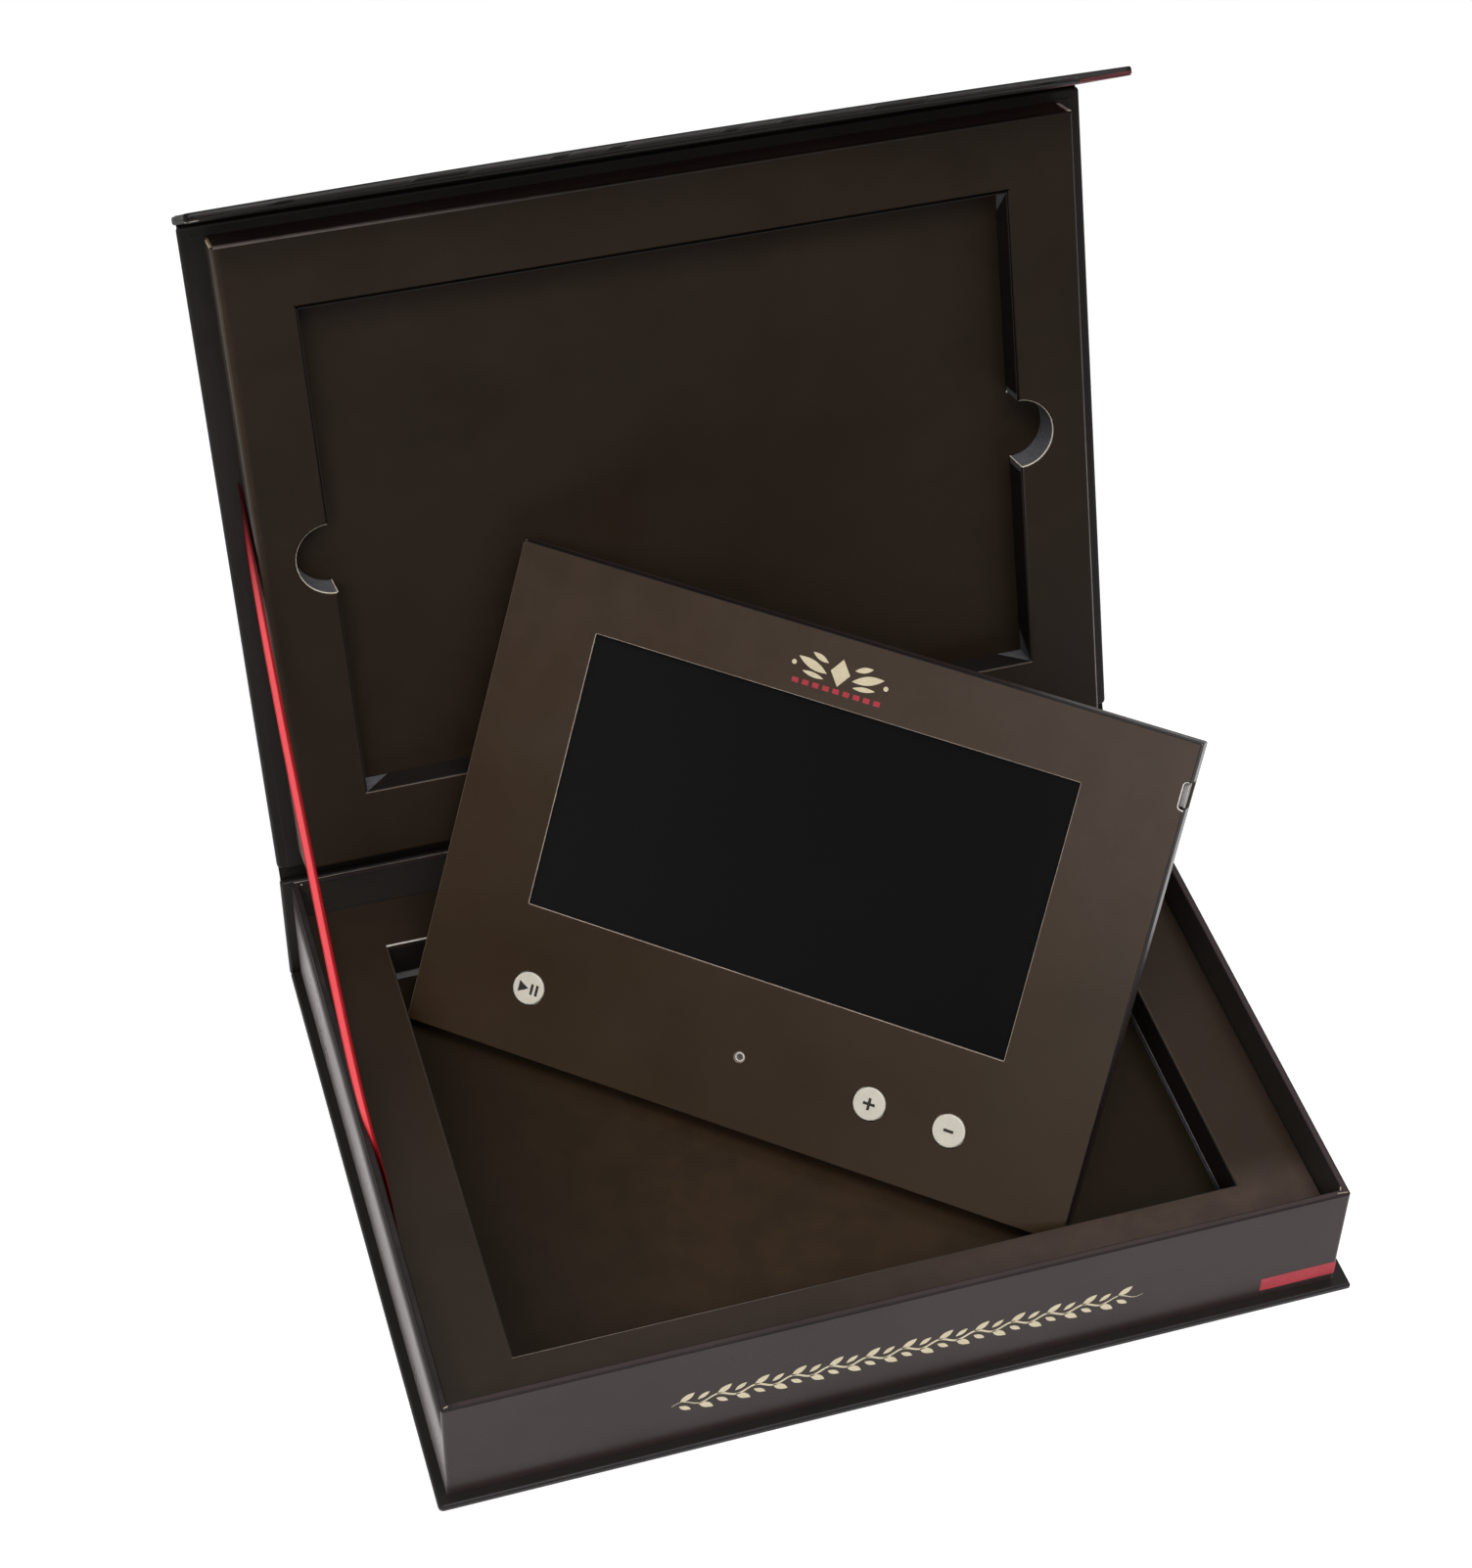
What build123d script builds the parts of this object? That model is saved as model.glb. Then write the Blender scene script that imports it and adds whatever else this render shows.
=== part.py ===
# Video brochure: rigid presentation box (tray base, hinged cover, closing flap,
# stay ribbon) with a card-cased video player propped in its tray.
# Units mm, +Z up, -Y is the front of the box. Origin: centre of the tray's
# footprint, on the underside of the base board.
import os
from math import sin, cos, radians
from build123d import *

os.makedirs("parts", exist_ok=True)

# ---------------------------------------------------------------- dimensions
# tray
TRAY_W, TRAY_D = 270.2, 206.0          # outside of the tray walls
BOARD_T = 2.5                          # case boards (base, spine, cover, flap)
WALL_T = 2.3                           # tray wall board
WALL_H = 40.8                          # tray wall height above the base board
OVER = 3.2                             # case board overhang round the tray
FLOOR_T = 2.0                          # tray floor board
# tray insert
INS_TOP = 29.4                         # top face of the insert
INS_T = 1.5
POC_W, POC_D = 220.2, 162.2            # pocket in the insert
POC_FLOOR = 13.1                       # top face of the pocket floor
RIB_SLOT = 0.9                         # slot for the ribbon at the left wall
# spine
SPINE_Y0 = 103.3
SPINE_Z0, SPINE_Z1 = 0.4, 43.0
# cover and its tray (drawn closed, then opened)
HINGE_Y, HINGE_Z = 106.15, 45.2        # crease between spine and cover
OPEN = 110.0                           # opening angle held by the ribbon
COV_Y0, COV_Y1 = -103.15, 104.15
COV_Z0 = 43.6
LT_W, LT_D = 261.8, 199.6              # lid tray outside
LT_Z0 = 30.5                           # lid tray face when closed
LT_WALL, LT_FACE, LT_BACK = 2.3, 1.5, 2.3
LP_W, LP_D = 217.8, 155.6              # pocket in the lid
NOTCH_R = 10.8                         # thumb notches
# flap (drawn hanging closed)
FLAP_Y0, FLAP_Y1 = -106.1, -103.6
FLAP_Z0, FLAP_Z1 = 2.8, 44.7
FLAP_AY, FLAP_AZ = -104.2, 45.1        # crease between cover and flap
FLAP_FOLD = 74.0                       # fold at rest, 90 when closed
FLAP_R = 2.0
FLAP_X = 139.1                         # half its length
# magnets
MAG_R, MAG_X, MAG_Z = 7.0, 90.0, 18.0
# ribbon
RIB_W, RIB_T = 10.0, 0.3
RIB_X = -132.45
RIB_A = (144.25, 158.6)                # y, z of its centre at the cover
RIB_B = (-18.5, 33.0)                  # y, z of its centre at the insert's edge
# player (local frame: x along its foot, y back, z up its face)
PL_W, PL_T, PL_H = 215.6, 10.0, 154.0
PL_YAW, PL_LEAN = -40.1, 36.3
PL_AT = (-109.2, 59.2, 19.32)         # lower left corner of its face
CARD_T, FRAME_W = 1.5, 4.0
WIN_X, WIN_Z, WIN_W, WIN_H = 29.7, 47.0, 155.0, 86.0
BTN_R, BTN_HOLE, BTN_FLANGE = 5.2, 5.5, 6.5
BTN_Z = 21.5
BTN_XS = {"play": 36.3, "plus": 149.0, "minus": 174.4}
LED_X, LED_Z, LED_R = 106.6, 22.3, 1.7
USB_Z0, USB_Z1, USB_IN = 134.0, 142.1, 1.8


def box(x0, x1, y0, y1, z0, z1):
    return Pos((x0 + x1) / 2, (y0 + y1) / 2, (z0 + z1) / 2) * Box(x1 - x0, y1 - y0, z1 - z0)


def cyl_y(x, z, r, y0, y1):
    return Pos(x, (y0 + y1) / 2, z) * (Rot(90, 0, 0) * Cylinder(r, y1 - y0))


def cyl_z(x, y, r, z0, z1):
    return Pos(x, y, (z0 + z1) / 2) * Cylinder(r, z1 - z0)


def yz_prism(pts, x0, x1):
    """Extrude a polygon given as (y, z) points from x0 to x1."""
    pl = Plane(origin=(x0, 0, 0), x_dir=(0, 1, 0), z_dir=(1, 0, 0))
    return extrude(pl * make_face(Polyline(*[(a, b) for a, b in pts], close=True)), x1 - x0)


def round_x(part, r):
    """Round the edges that run along X."""
    return fillet(part.edges().filter_by(Axis.X), r)


def save(name, part):
    part.label = name
    export_step(part, f"parts/{name}.step")


TX, TY = TRAY_W / 2, TRAY_D / 2
TOP = BOARD_T + WALL_H
BX = TX + OVER

# ---------------------------------------------------------------- base
base_board = box(-BX, BX, -TY - OVER, TY, 0, BOARD_T)
base_board = fillet(base_board.edges().filter_by(Axis.Z), 1.2)
base_board = fillet(base_board.edges().group_by(Axis.Z)[-1], 0.5)
save("base_board", base_board)

spine = box(-BX, BX, SPINE_Y0, SPINE_Y0 + BOARD_T, SPINE_Z0, SPINE_Z1)
spine = fillet(spine.edges().filter_by(Axis.Y), 1.2)
save("spine_board", spine)

wall_f = box(-TX, TX, -TY, -TY + WALL_T, BOARD_T, TOP)
wall_b = box(-TX, TX, TY - WALL_T, TY, BOARD_T, TOP)
wall_l = box(-TX, -TX + WALL_T, -TY + WALL_T, TY - WALL_T, BOARD_T, TOP)
wall_r = box(TX - WALL_T, TX, -TY + WALL_T, TY - WALL_T, BOARD_T, TOP)
wall_f = fillet(wall_f.edges().filter_by(Axis.Z).group_by(Axis.Y)[0], 0.6)
wall_b = fillet(wall_b.edges().filter_by(Axis.Z).group_by(Axis.Y)[-1], 0.6)
save("tray_wall_front", wall_f)
save("tray_wall_back", wall_b)
save("tray_wall_left", wall_l)
save("tray_wall_right", wall_r)

IX, IY = TX - WALL_T, TY - WALL_T
save("tray_floor", box(-IX, IX, -IY, IY, BOARD_T, BOARD_T + FLOOR_T))
F1 = BOARD_T + FLOOR_T

ins_top = box(-IX + RIB_SLOT, IX - 0.3, -IY + 0.3, IY - 0.3, INS_TOP - INS_T, INS_TOP)
ins_top -= box(-POC_W / 2, POC_W / 2, -POC_D / 2, POC_D / 2, 0, 60)
save("insert_top", ins_top)
PX, PY = POC_W / 2, POC_D / 2
IW = 1.5
save("insert_wall_front", box(-PX - IW, PX + IW, -PY - IW, -PY, F1, INS_TOP - INS_T))
save("insert_wall_back", box(-PX - IW, PX + IW, PY, PY + IW, F1, INS_TOP - INS_T))
save("insert_wall_left", box(-PX - IW, -PX, -PY, PY, F1, INS_TOP - INS_T))
save("insert_wall_right", box(PX, PX + IW, -PY, PY, F1, INS_TOP - INS_T))
save("pocket_floor", box(-PX, PX, -PY, PY, POC_FLOOR - 1.5, POC_FLOOR))
save("pocket_foam", box(-PX + 6, PX - 6, -PY + 6, PY - 6, F1, POC_FLOOR - 1.5))

for side, sx in (("left", -1), ("right", 1)):
    save(f"base_magnet_{side}", cyl_y(sx * MAG_X, MAG_Z, MAG_R, -TY + WALL_T, -TY + WALL_T + 2.0))

# ---------------------------------------------------------------- cover (opened about the crease)
HINGE = Axis((0, HINGE_Y, HINGE_Z), (1, 0, 0))


def opened(part):
    return part.rotate(HINGE, -OPEN)


cover = box(-BX, BX, COV_Y0, COV_Y1, COV_Z0, COV_Z0 + BOARD_T)
cover = fillet(cover.edges().filter_by(Axis.Z), 1.2)
cover = fillet(cover.edges().group_by(Axis.Z)[-1], 0.5)
save("cover_board", opened(cover))

LX, LY = LT_W / 2, LT_D / 2


def lid_opening(z0, z1):
    cut = box(-LP_W / 2, LP_W / 2, -LP_D / 2, LP_D / 2, z0, z1)
    for sx in (-1, 1):
        cut += cyl_z(sx * LP_W / 2, 0, NOTCH_R, z0, z1)
    return cut


# slot for the ribbon's tail, on the cover's inner face
hy, hz = RIB_A[0] - HINGE_Y, RIB_A[1] - HINGE_Z
a = radians(OPEN)
V_A = hy * -cos(a) + hz * sin(a)       # distance of the ribbon's end up the cover
dy, dz = RIB_B[0] - RIB_A[0], RIB_B[1] - RIB_A[1]
ln = (dy * dy + dz * dz) ** 0.5
dy, dz = dy / ln, dz / ln
uy, uz = -cos(a), sin(a)               # up the open cover
ny, nz = -sin(a), -cos(a)              # out of its inner face
HALF = RIB_W / 2 / abs(dy * ny + dz * nz)      # half the ribbon's length along the cover
TAIL_Y = HINGE_Y - V_A
tail_cut = box(-LX - 1, -LX + 14.3, TAIL_Y - HALF - 0.3, TAIL_Y + HALF + 0.3, COV_Z0 - 0.4, COV_Z0 + 1)

LZ = COV_Z0
face = box(-LX, LX, -LY, LY, LT_Z0, LT_Z0 + LT_FACE) - lid_opening(0, 60)
save("lid_face", opened(face))
core = box(-LX + LT_WALL, LX - LT_WALL, -LY + LT_WALL, LY - LT_WALL, LT_Z0 + LT_FACE, LZ - LT_BACK)
core -= lid_opening(0, 60)
save("lid_core", opened(core))
backing = box(-LX + LT_WALL, LX - LT_WALL, -LY + LT_WALL, LY - LT_WALL, LZ - LT_BACK, LZ) - tail_cut
save("lid_backing", opened(backing))
save("lid_wall_front", opened(box(-LX, LX, -LY, -LY + LT_WALL, LT_Z0 + LT_FACE, LZ)))
save("lid_wall_back", opened(box(-LX, LX, LY - LT_WALL, LY, LT_Z0 + LT_FACE, LZ)))
lw = box(-LX, -LX + LT_WALL, -LY + LT_WALL, LY - LT_WALL, LT_Z0 + LT_FACE, LZ) - tail_cut
save("lid_wall_left", opened(lw))
save("lid_wall_right", opened(box(LX - LT_WALL, LX, -LY + LT_WALL, LY - LT_WALL, LT_Z0 + LT_FACE, LZ)))

# wrapping paper across the crease between spine and cover
P_T = 0.3


def lid_pt(v, d):
    """Point in the open cover: v up from the crease, d out of the axis towards the inside."""
    return (HINGE_Y + uy * v + ny * d, HINGE_Z + uz * v + nz * d)


D_OUT = (HINGE_Z - COV_Z0) - BOARD_T           # outer face of the cover, about the axis
V_EDGE = HINGE_Y - COV_Y1
sy = SPINE_Y0 + BOARD_T + 0.05
strip = [(sy, 38.0), (sy, 43.6), lid_pt(V_EDGE - 0.6, D_OUT - 0.05), lid_pt(V_EDGE + 7, D_OUT - 0.05),
         lid_pt(V_EDGE + 7, D_OUT - 0.05 - P_T), lid_pt(V_EDGE - 0.7, D_OUT - 0.05 - P_T),
         (sy + P_T, 43.5), (sy + P_T, 38.0)]
save("lid_hinge_paper", yz_prism(strip, -BX + 1.2, BX - 1.2))

# ---------------------------------------------------------------- flap
FLAP_AXIS = Axis((0, FLAP_AY, FLAP_AZ), (1, 0, 0))


def flapped(part):
    return opened(part.rotate(FLAP_AXIS, -(90 - FLAP_FOLD)))


flap = box(-FLAP_X, FLAP_X, FLAP_Y0, FLAP_Y1, FLAP_Z0, FLAP_Z1)
flap = fillet(flap.edges().filter_by(Axis.Y).group_by(Axis.Z)[0], FLAP_R)
MAG_P = 1.7
for sx in (-1, 1):
    flap -= cyl_y(sx * MAG_X, MAG_Z, MAG_R + 0.1, FLAP_Y1 - MAG_P, FLAP_Y1 + 1)
save("flap_board", flapped(flap))
for side, sx in (("left", -1), ("right", 1)):
    save(f"flap_magnet_{side}", flapped(cyl_y(sx * MAG_X, MAG_Z, MAG_R, FLAP_Y1 - MAG_P + 0.05, FLAP_Y1 - 0.1)))


# wrapping paper across the crease between cover and flap
def rot2(y, z, deg, ay, az):
    t = radians(deg)
    return (ay + (y - ay) * cos(t) - (z - az) * sin(t), az + (y - ay) * sin(t) + (z - az) * cos(t))


def lid2(y, z):
    return rot2(y, z, -OPEN, HINGE_Y, HINGE_Z)


def flap2(y, z):
    y, z = rot2(y, z, -(90 - FLAP_FOLD), FLAP_AY, FLAP_AZ)
    return lid2(y, z)


co = COV_Z0 + BOARD_T + 0.05
fo = FLAP_Y0 - 0.05
strip2 = [lid2(COV_Y0 + 7, co), lid2(COV_Y0 - 0.2, co), flap2(fo, FLAP_Z1 + 0.15), flap2(fo, FLAP_Z1 - 7),
          flap2(fo - P_T, FLAP_Z1 - 7), flap2(fo - P_T, FLAP_Z1 + 0.35), lid2(COV_Y0 - 0.3, co + P_T),
          lid2(COV_Y0 + 7, co + P_T)]
save("flap_hinge_paper", yz_prism(strip2, -BX + 1.2, BX - 1.2))

# ---------------------------------------------------------------- ribbon
py, pz = -dz, dy                       # across the ribbon


def on_line(q, s):
    return (RIB_A[0] + dy * s + py * q, RIB_A[1] + dz * s + pz * q)


def hit_cover(q, gap):
    """Where the ribbon's edge at q meets the cover's inner face, less a gap."""
    # signed distance to the inner face along n, as a linear function of s
    d_in = HINGE_Z - COV_Z0 + gap
    y0, z0 = on_line(q, 0)
    d0 = (y0 - HINGE_Y) * ny + (z0 - HINGE_Z) * nz
    return on_line(q, (d_in - d0) / (dy * ny + dz * nz))


def hit_z(q, z):
    y0, z0 = on_line(q, 0)
    return on_line(q, (z - z0) / dz)


h = RIB_W / 2
ribbon = [hit_cover(-h, 0.35), hit_cover(h, 0.35), hit_z(h, 26.5), hit_z(-h, 26.5)]
save("ribbon", yz_prism(ribbon, RIB_X, RIB_X + RIB_T))
ty0, ty1 = sorted((hit_z(-h, 26.0)[0], hit_z(h, 26.0)[0]))
save("ribbon_tail_base", box(RIB_X, RIB_X + RIB_T, ty0, ty1, 8.0, 26.2))
save("ribbon_tail_lid", opened(box(-LX - 1.2, -LX + 14, TAIL_Y - HALF, TAIL_Y + HALF, LZ - 0.33, LZ - 0.03)))

# ---------------------------------------------------------------- player
yw, le = radians(PL_YAW), radians(PL_LEAN)
xd = Vector(cos(yw), sin(yw), 0)
bk = Vector(-sin(yw), cos(yw), 0)      # level direction away from the viewer
zd = bk * sin(le) + Vector(0, 0, 1) * cos(le)
PL = Plane(origin=PL_AT, x_dir=xd, z_dir=zd)


def placed(part):
    return PL.location * part


cf = box(0, PL_W, 0, CARD_T, 0, PL_H)
cf -= box(WIN_X, WIN_X + WIN_W, -1, 3, WIN_Z, WIN_Z + WIN_H)
for bx in BTN_XS.values():
    cf -= cyl_y(bx, BTN_Z, BTN_HOLE, -1, 3)
cf -= cyl_y(LED_X, LED_Z, LED_R, -1, 3)
notch = box(PL_W - USB_IN, PL_W + 1, -1, PL_T - CARD_T, USB_Z0, USB_Z1)
cf -= notch
save("player_front", placed(cf))
save("player_back", placed(box(0, PL_W, PL_T - CARD_T, PL_T, 0, PL_H)))
fr = box(0, PL_W, CARD_T, PL_T - CARD_T, 0, PL_H)
fr -= box(FRAME_W, PL_W - FRAME_W, 0, PL_T, FRAME_W, PL_H - FRAME_W)
fr -= box(PL_W - FRAME_W - 1, PL_W + 1, 0, PL_T, USB_Z0, USB_Z1)
save("player_frame", placed(fr))

lcd_x0 = WIN_X + WIN_W / 2 - 82.45
save("lcd_panel", placed(box(lcd_x0, lcd_x0 + 164.9, 1.55, 4.05, 38.5, 137.5)))
save("lcd_backlight", placed(box(lcd_x0, lcd_x0 + 164.9, 4.1, 6.1, 38.5, 137.5)))
save("lcd_flex", placed(box(95, 113, 6.25, 6.45, 29, 46)))
save("main_board", placed(box(60, 130, 5.0, 6.2, 7, 36)))
save("battery", placed(box(40, 110, 6.5, 8.4, 60, 110)))
save("speaker", placed(box(192, 210, 2.2, 6.2, 60, 100)))
save("usb_board", placed(box(196, 211, 5.25, 6.25, 128, 148)))
usb = box(209.4, 215.2, 2.6, 5.2, 134.3, 141.8)
usb -= box(211.4, 216, 3.0, 4.8, 134.7, 141.4)
save("usb_socket", placed(usb))
save("status_led", placed(cyl_y(LED_X, LED_Z, LED_R - 0.1, 0.2, 4.95)))
save("button_board_left", placed(box(24, 50, 4.25, 5.25, 9, 34)))
save("button_board_right", placed(box(137, 187, 4.25, 5.25, 9, 34)))
for name, bx in BTN_XS.items():
    cap = cyl_y(bx, BTN_Z, BTN_R, -0.35, 1.95)
    cap = fillet(cap.edges().filter_by(GeomType.CIRCLE).group_by(Axis.Y)[0], 0.25)
    cap += cyl_y(bx, BTN_Z, BTN_FLANGE, 1.56, 1.95)
    save(f"button_{name}", placed(cap))
    save(f"switch_{name}", placed(cyl_y(bx, BTN_Z, 3.0, 2.45, 4.2)))
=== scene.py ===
# Looks of the video brochure: a wrapped presentation box with a propped card-cased player.
# Lengths in the tables below are millimetres in the part's own frame; objects are made in metres.
import math
import bpy
import bmesh
from mathutils import Matrix, Vector
from mathutils.geometry import tessellate_polygon


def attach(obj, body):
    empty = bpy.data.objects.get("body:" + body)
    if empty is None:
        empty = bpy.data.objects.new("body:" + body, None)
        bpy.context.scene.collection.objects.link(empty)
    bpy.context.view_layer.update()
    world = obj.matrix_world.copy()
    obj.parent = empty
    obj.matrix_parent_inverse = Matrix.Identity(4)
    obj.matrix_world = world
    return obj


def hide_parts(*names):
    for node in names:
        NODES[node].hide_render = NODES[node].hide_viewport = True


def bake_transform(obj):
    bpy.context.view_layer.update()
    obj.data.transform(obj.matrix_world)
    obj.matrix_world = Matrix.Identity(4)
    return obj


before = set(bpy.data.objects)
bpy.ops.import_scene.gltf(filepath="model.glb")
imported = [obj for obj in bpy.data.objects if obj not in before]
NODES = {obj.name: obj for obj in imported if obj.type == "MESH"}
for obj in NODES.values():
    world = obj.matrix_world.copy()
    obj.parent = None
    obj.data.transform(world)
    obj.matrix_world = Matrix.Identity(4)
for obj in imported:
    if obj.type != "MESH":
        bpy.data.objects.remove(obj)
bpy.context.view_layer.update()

# ------------------------------------------------------------------ dimensions (as in the part)
TX, TY, TOP, BX = 135.1, 103.0, 43.3, 138.3
HINGE_Y, HINGE_Z, OPEN = 106.15, 45.2, 110.0
FLAP_AY, FLAP_AZ, FLAP_TURN, FLAP_X = -104.2, 45.1, 16.0, 139.1
PL_AT, PL_YAW, PL_LEAN = (-109.2, 59.2, 19.32), -40.1, 36.3
PL_W, PL_H, PL_T = 215.6, 154.0, 10.0
BTN = {"play": 36.3, "plus": 149.0, "minus": 174.4}
BTN_Z = 21.5
LED_X, LED_Z = 106.6, 22.3


# ------------------------------------------------------------------ placing
def turn(p, deg, ay, az):
    c, s = math.cos(math.radians(deg)), math.sin(math.radians(deg))
    y, z = p[1] - ay, p[2] - az
    return (p[0], ay + y * c - z * s, az + y * s + z * c)


def at_base(p):
    return p


def at_lid(p):
    return turn(p, -OPEN, HINGE_Y, HINGE_Z)


def at_flap(p):
    return at_lid(turn(p, -FLAP_TURN, FLAP_AY, FLAP_AZ))


_yw, _le = math.radians(PL_YAW), math.radians(PL_LEAN)
XD = Vector((math.cos(_yw), math.sin(_yw), 0))
BK = Vector((-math.sin(_yw), math.cos(_yw), 0))
ZD = BK * math.sin(_le) + Vector((0, 0, 1)) * math.cos(_le)
YD = ZD.cross(XD)


def at_player(p):
    return tuple(Vector(PL_AT) + XD * p[0] + YD * p[1] + ZD * p[2])


# (u, v, w) of a drawn shape to x, y, z
XY = lambda u, v, w: (u, v, w)
XZ = lambda u, v, w: (u, w, v)
YZ = lambda u, v, w: (w, u, v)


# ------------------------------------------------------------------ outlines, as functions of an inset
def rrect(x0, x1, y0, y1, r, n=5):
    """Rounded rectangle. r is one radius or four, from the corner (x0, y0) anticlockwise."""
    rs = r if hasattr(r, "__len__") else (r,) * 4

    def at(d):
        pts = []
        for (cx, cy, sx, sy), rad, a0 in zip(((x0, y0, 1, 1), (x1, y0, -1, 1), (x1, y1, -1, -1), (x0, y1, 1, -1)), rs, (180, 270, 0, 90)):
            q = max(rad - d, 0.03)
            ox, oy = cx + sx * (d + q), cy + sy * (d + q)
            for k in range(n + 1):
                a = math.radians(a0 + 90 * k / n)
                pts.append((ox + q * math.cos(a), oy + q * math.sin(a)))
        return pts
    return at


def circle(cx, cy, r, n=48):
    def at(d):
        q = r - d
        return [(cx + q * math.cos(2 * math.pi * k / n), cy + q * math.sin(2 * math.pi * k / n)) for k in range(n)]
    return at


def grown(fn):
    return lambda d: fn(-d)


def round_over(r, n=4):
    """(inset, drop) from the flat face round to the side."""
    return [(r * (1 - math.sin(math.pi / 2 * k / n)), r * (1 - math.cos(math.pi / 2 * k / n))) for k in range(n + 1)]


# ------------------------------------------------------------------ mesh building
class Shape:
    def __init__(self):
        self.v, self.f, self.m, self.s = [], [], [], []

    def ring(self, pts):
        i = len(self.v)
        self.v += [tuple(p) for p in pts]
        return list(range(i, i + len(pts)))

    def face(self, idx, mat=0, smooth=False):
        self.f.append(tuple(idx)); self.m.append(mat); self.s.append(smooth)

    def join(self, a, b, mat=0, smooth=False, closed=True):
        n = len(a)
        for i in range(n if closed else n - 1):
            j = (i + 1) % n
            self.face((a[i], a[j], b[j], b[i]), mat(i) if callable(mat) else mat, smooth)

    def fill(self, loops, mat=0):
        if len(loops) == 1 and len(loops[0]) <= 64:
            self.face(loops[0], mat)
            return
        flat = [i for l in loops for i in l]
        for t in tessellate_polygon([[Vector(self.v[i]) for i in l] for l in loops]):
            self.face([flat[k] for k in t], mat)

    def grid(self, rows, mat=0, smooth=True, closed=False):
        ids = [self.ring(r) for r in rows]
        for a, b in zip(ids, ids[1:]):
            self.join(a, b, mat, smooth, closed)
        return ids


def make(name, shape, place, mats, body, replaces=(), recalc=True, ride=True):
    me = bpy.data.meshes.new(name)
    me.from_pydata([[c / 1000 for c in place(p)] for p in shape.v], [], shape.f)
    for m in mats:
        me.materials.append(m)
    me.polygons.foreach_set("material_index", shape.m)
    me.polygons.foreach_set("use_smooth", shape.s)
    bm = bmesh.new()
    bm.from_mesh(me)
    bmesh.ops.remove_doubles(bm, verts=bm.verts, dist=1e-7)
    bmesh.ops.dissolve_degenerate(bm, edges=bm.edges, dist=1e-8)
    if recalc:
        bmesh.ops.recalc_face_normals(bm, faces=bm.faces)
    bm.to_mesh(me)
    bm.free()
    me.validate()
    ob = bpy.data.objects.new(name, me)
    bpy.context.scene.collection.objects.link(ob)
    if ride:
        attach(ob, body)
    if replaces:
        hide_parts(*replaces)
    return ob


def plate(outer, holes, outer_layers, hole_layers, axes=XY, face_mat=0, back_mat=0, shape=None):
    """A flat board. outer and holes are outlines by inset. Layers run from the first face to the other:
    (inset, w, material, smooth), where the material and smoothing are for the band that follows."""
    s = shape or Shape()
    first, last = [], []
    for k, fn in enumerate([outer] + list(holes)):
        layers = outer_layers if k == 0 else (hole_layers[k - 1] if isinstance(hole_layers[0][0], (list, tuple)) else hole_layers)
        prev = None
        for d, w, mat, smooth in layers:
            ids = s.ring([axes(u, v, w) for u, v in fn(d)])
            if prev is None:
                first.append(ids)
            else:
                s.join(prev, ids, pm, ps)
            prev, pm, ps = ids, mat, smooth
        last.append(prev)
    s.fill(first, face_mat)
    s.fill(last, back_mat)
    return s


def both_rounds(r, w0, w1, edge=1, side=0, n=4):
    """Layers of an outer side with both edges rounded."""
    out = [(i, w0 + d * (1 if w1 > w0 else -1), edge, True) for i, d in round_over(r, n)]
    out[-1] = (out[-1][0], out[-1][1], side, False)
    back = [(i, w1 - d * (1 if w1 > w0 else -1), edge, True) for i, d in reversed(round_over(r, n))]
    return out + back


def revolve(profile, cx, cz, n=48, mats=None, smooth=None):
    """Solid of revolution about local y through (cx, cz); profile is (radius, y) from axis to axis."""
    s = Shape()
    rings = []
    for r, y in profile:
        if r < 1e-6:
            rings.append(s.ring([(cx, y, cz)]))
        else:
            rings.append(s.ring([(cx + r * math.cos(2 * math.pi * k / n), y, cz + r * math.sin(2 * math.pi * k / n)) for k in range(n)]))
    for k, (a, b) in enumerate(zip(rings, rings[1:])):
        m = mats[k] if mats else 0
        sm = smooth[k] if smooth else True
        if len(a) == 1 or len(b) == 1:
            tip, rim = (a[0], b) if len(a) == 1 else (b[0], a)
            for i in range(len(rim)):
                s.face((tip, rim[i], rim[(i + 1) % len(rim)]), m, sm)
        else:
            s.join(a, b, m, sm)
    return s


def prism(pts, w0, w1, axes, mat=0, shape=None):
    s = shape or Shape()
    a = s.ring([axes(u, v, w0) for u, v in pts])
    b = s.ring([axes(u, v, w1) for u, v in pts])
    s.join(a, b, mat)
    s.fill([a], mat)
    s.fill([b], mat)
    return s


# ------------------------------------------------------------------ materials
def new_mat(name, rough=0.5, spec=0.5, metal=0.0, color=(0.5, 0.5, 0.5)):
    m = bpy.data.materials.new(name)
    m.use_nodes = True
    p = m.node_tree.nodes["Principled BSDF"]
    p.inputs["Roughness"].default_value = rough
    p.inputs["Specular IOR Level"].default_value = spec
    p.inputs["Metallic"].default_value = metal
    p.inputs["Base Color"].default_value = (*color, 1)
    m.diffuse_color = (*color, 1)
    return m, m.node_tree, p


def lin(r, g, b):
    f = lambda c: (c / 255 / 12.92) if c <= 10 else ((c / 255 + 0.055) / 1.055) ** 2.4
    return (f(r), f(g), f(b))


def coords(nt, scale=(1, 1, 1)):
    tc = nt.nodes.new("ShaderNodeTexCoord")
    mp = nt.nodes.new("ShaderNodeMapping")
    mp.inputs["Scale"].default_value = scale
    nt.links.new(tc.outputs["Object"], mp.inputs["Vector"])
    return mp.outputs["Vector"]


def noise_tex(nt, vec, scale, detail=2.0, rough=0.5, dist=0.0):
    n = nt.nodes.new("ShaderNodeTexNoise")
    n.inputs["Scale"].default_value = scale
    n.inputs["Detail"].default_value = detail
    n.inputs["Roughness"].default_value = rough
    n.inputs["Distortion"].default_value = dist
    nt.links.new(vec, n.inputs["Vector"])
    return n.outputs["Fac"]


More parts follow.
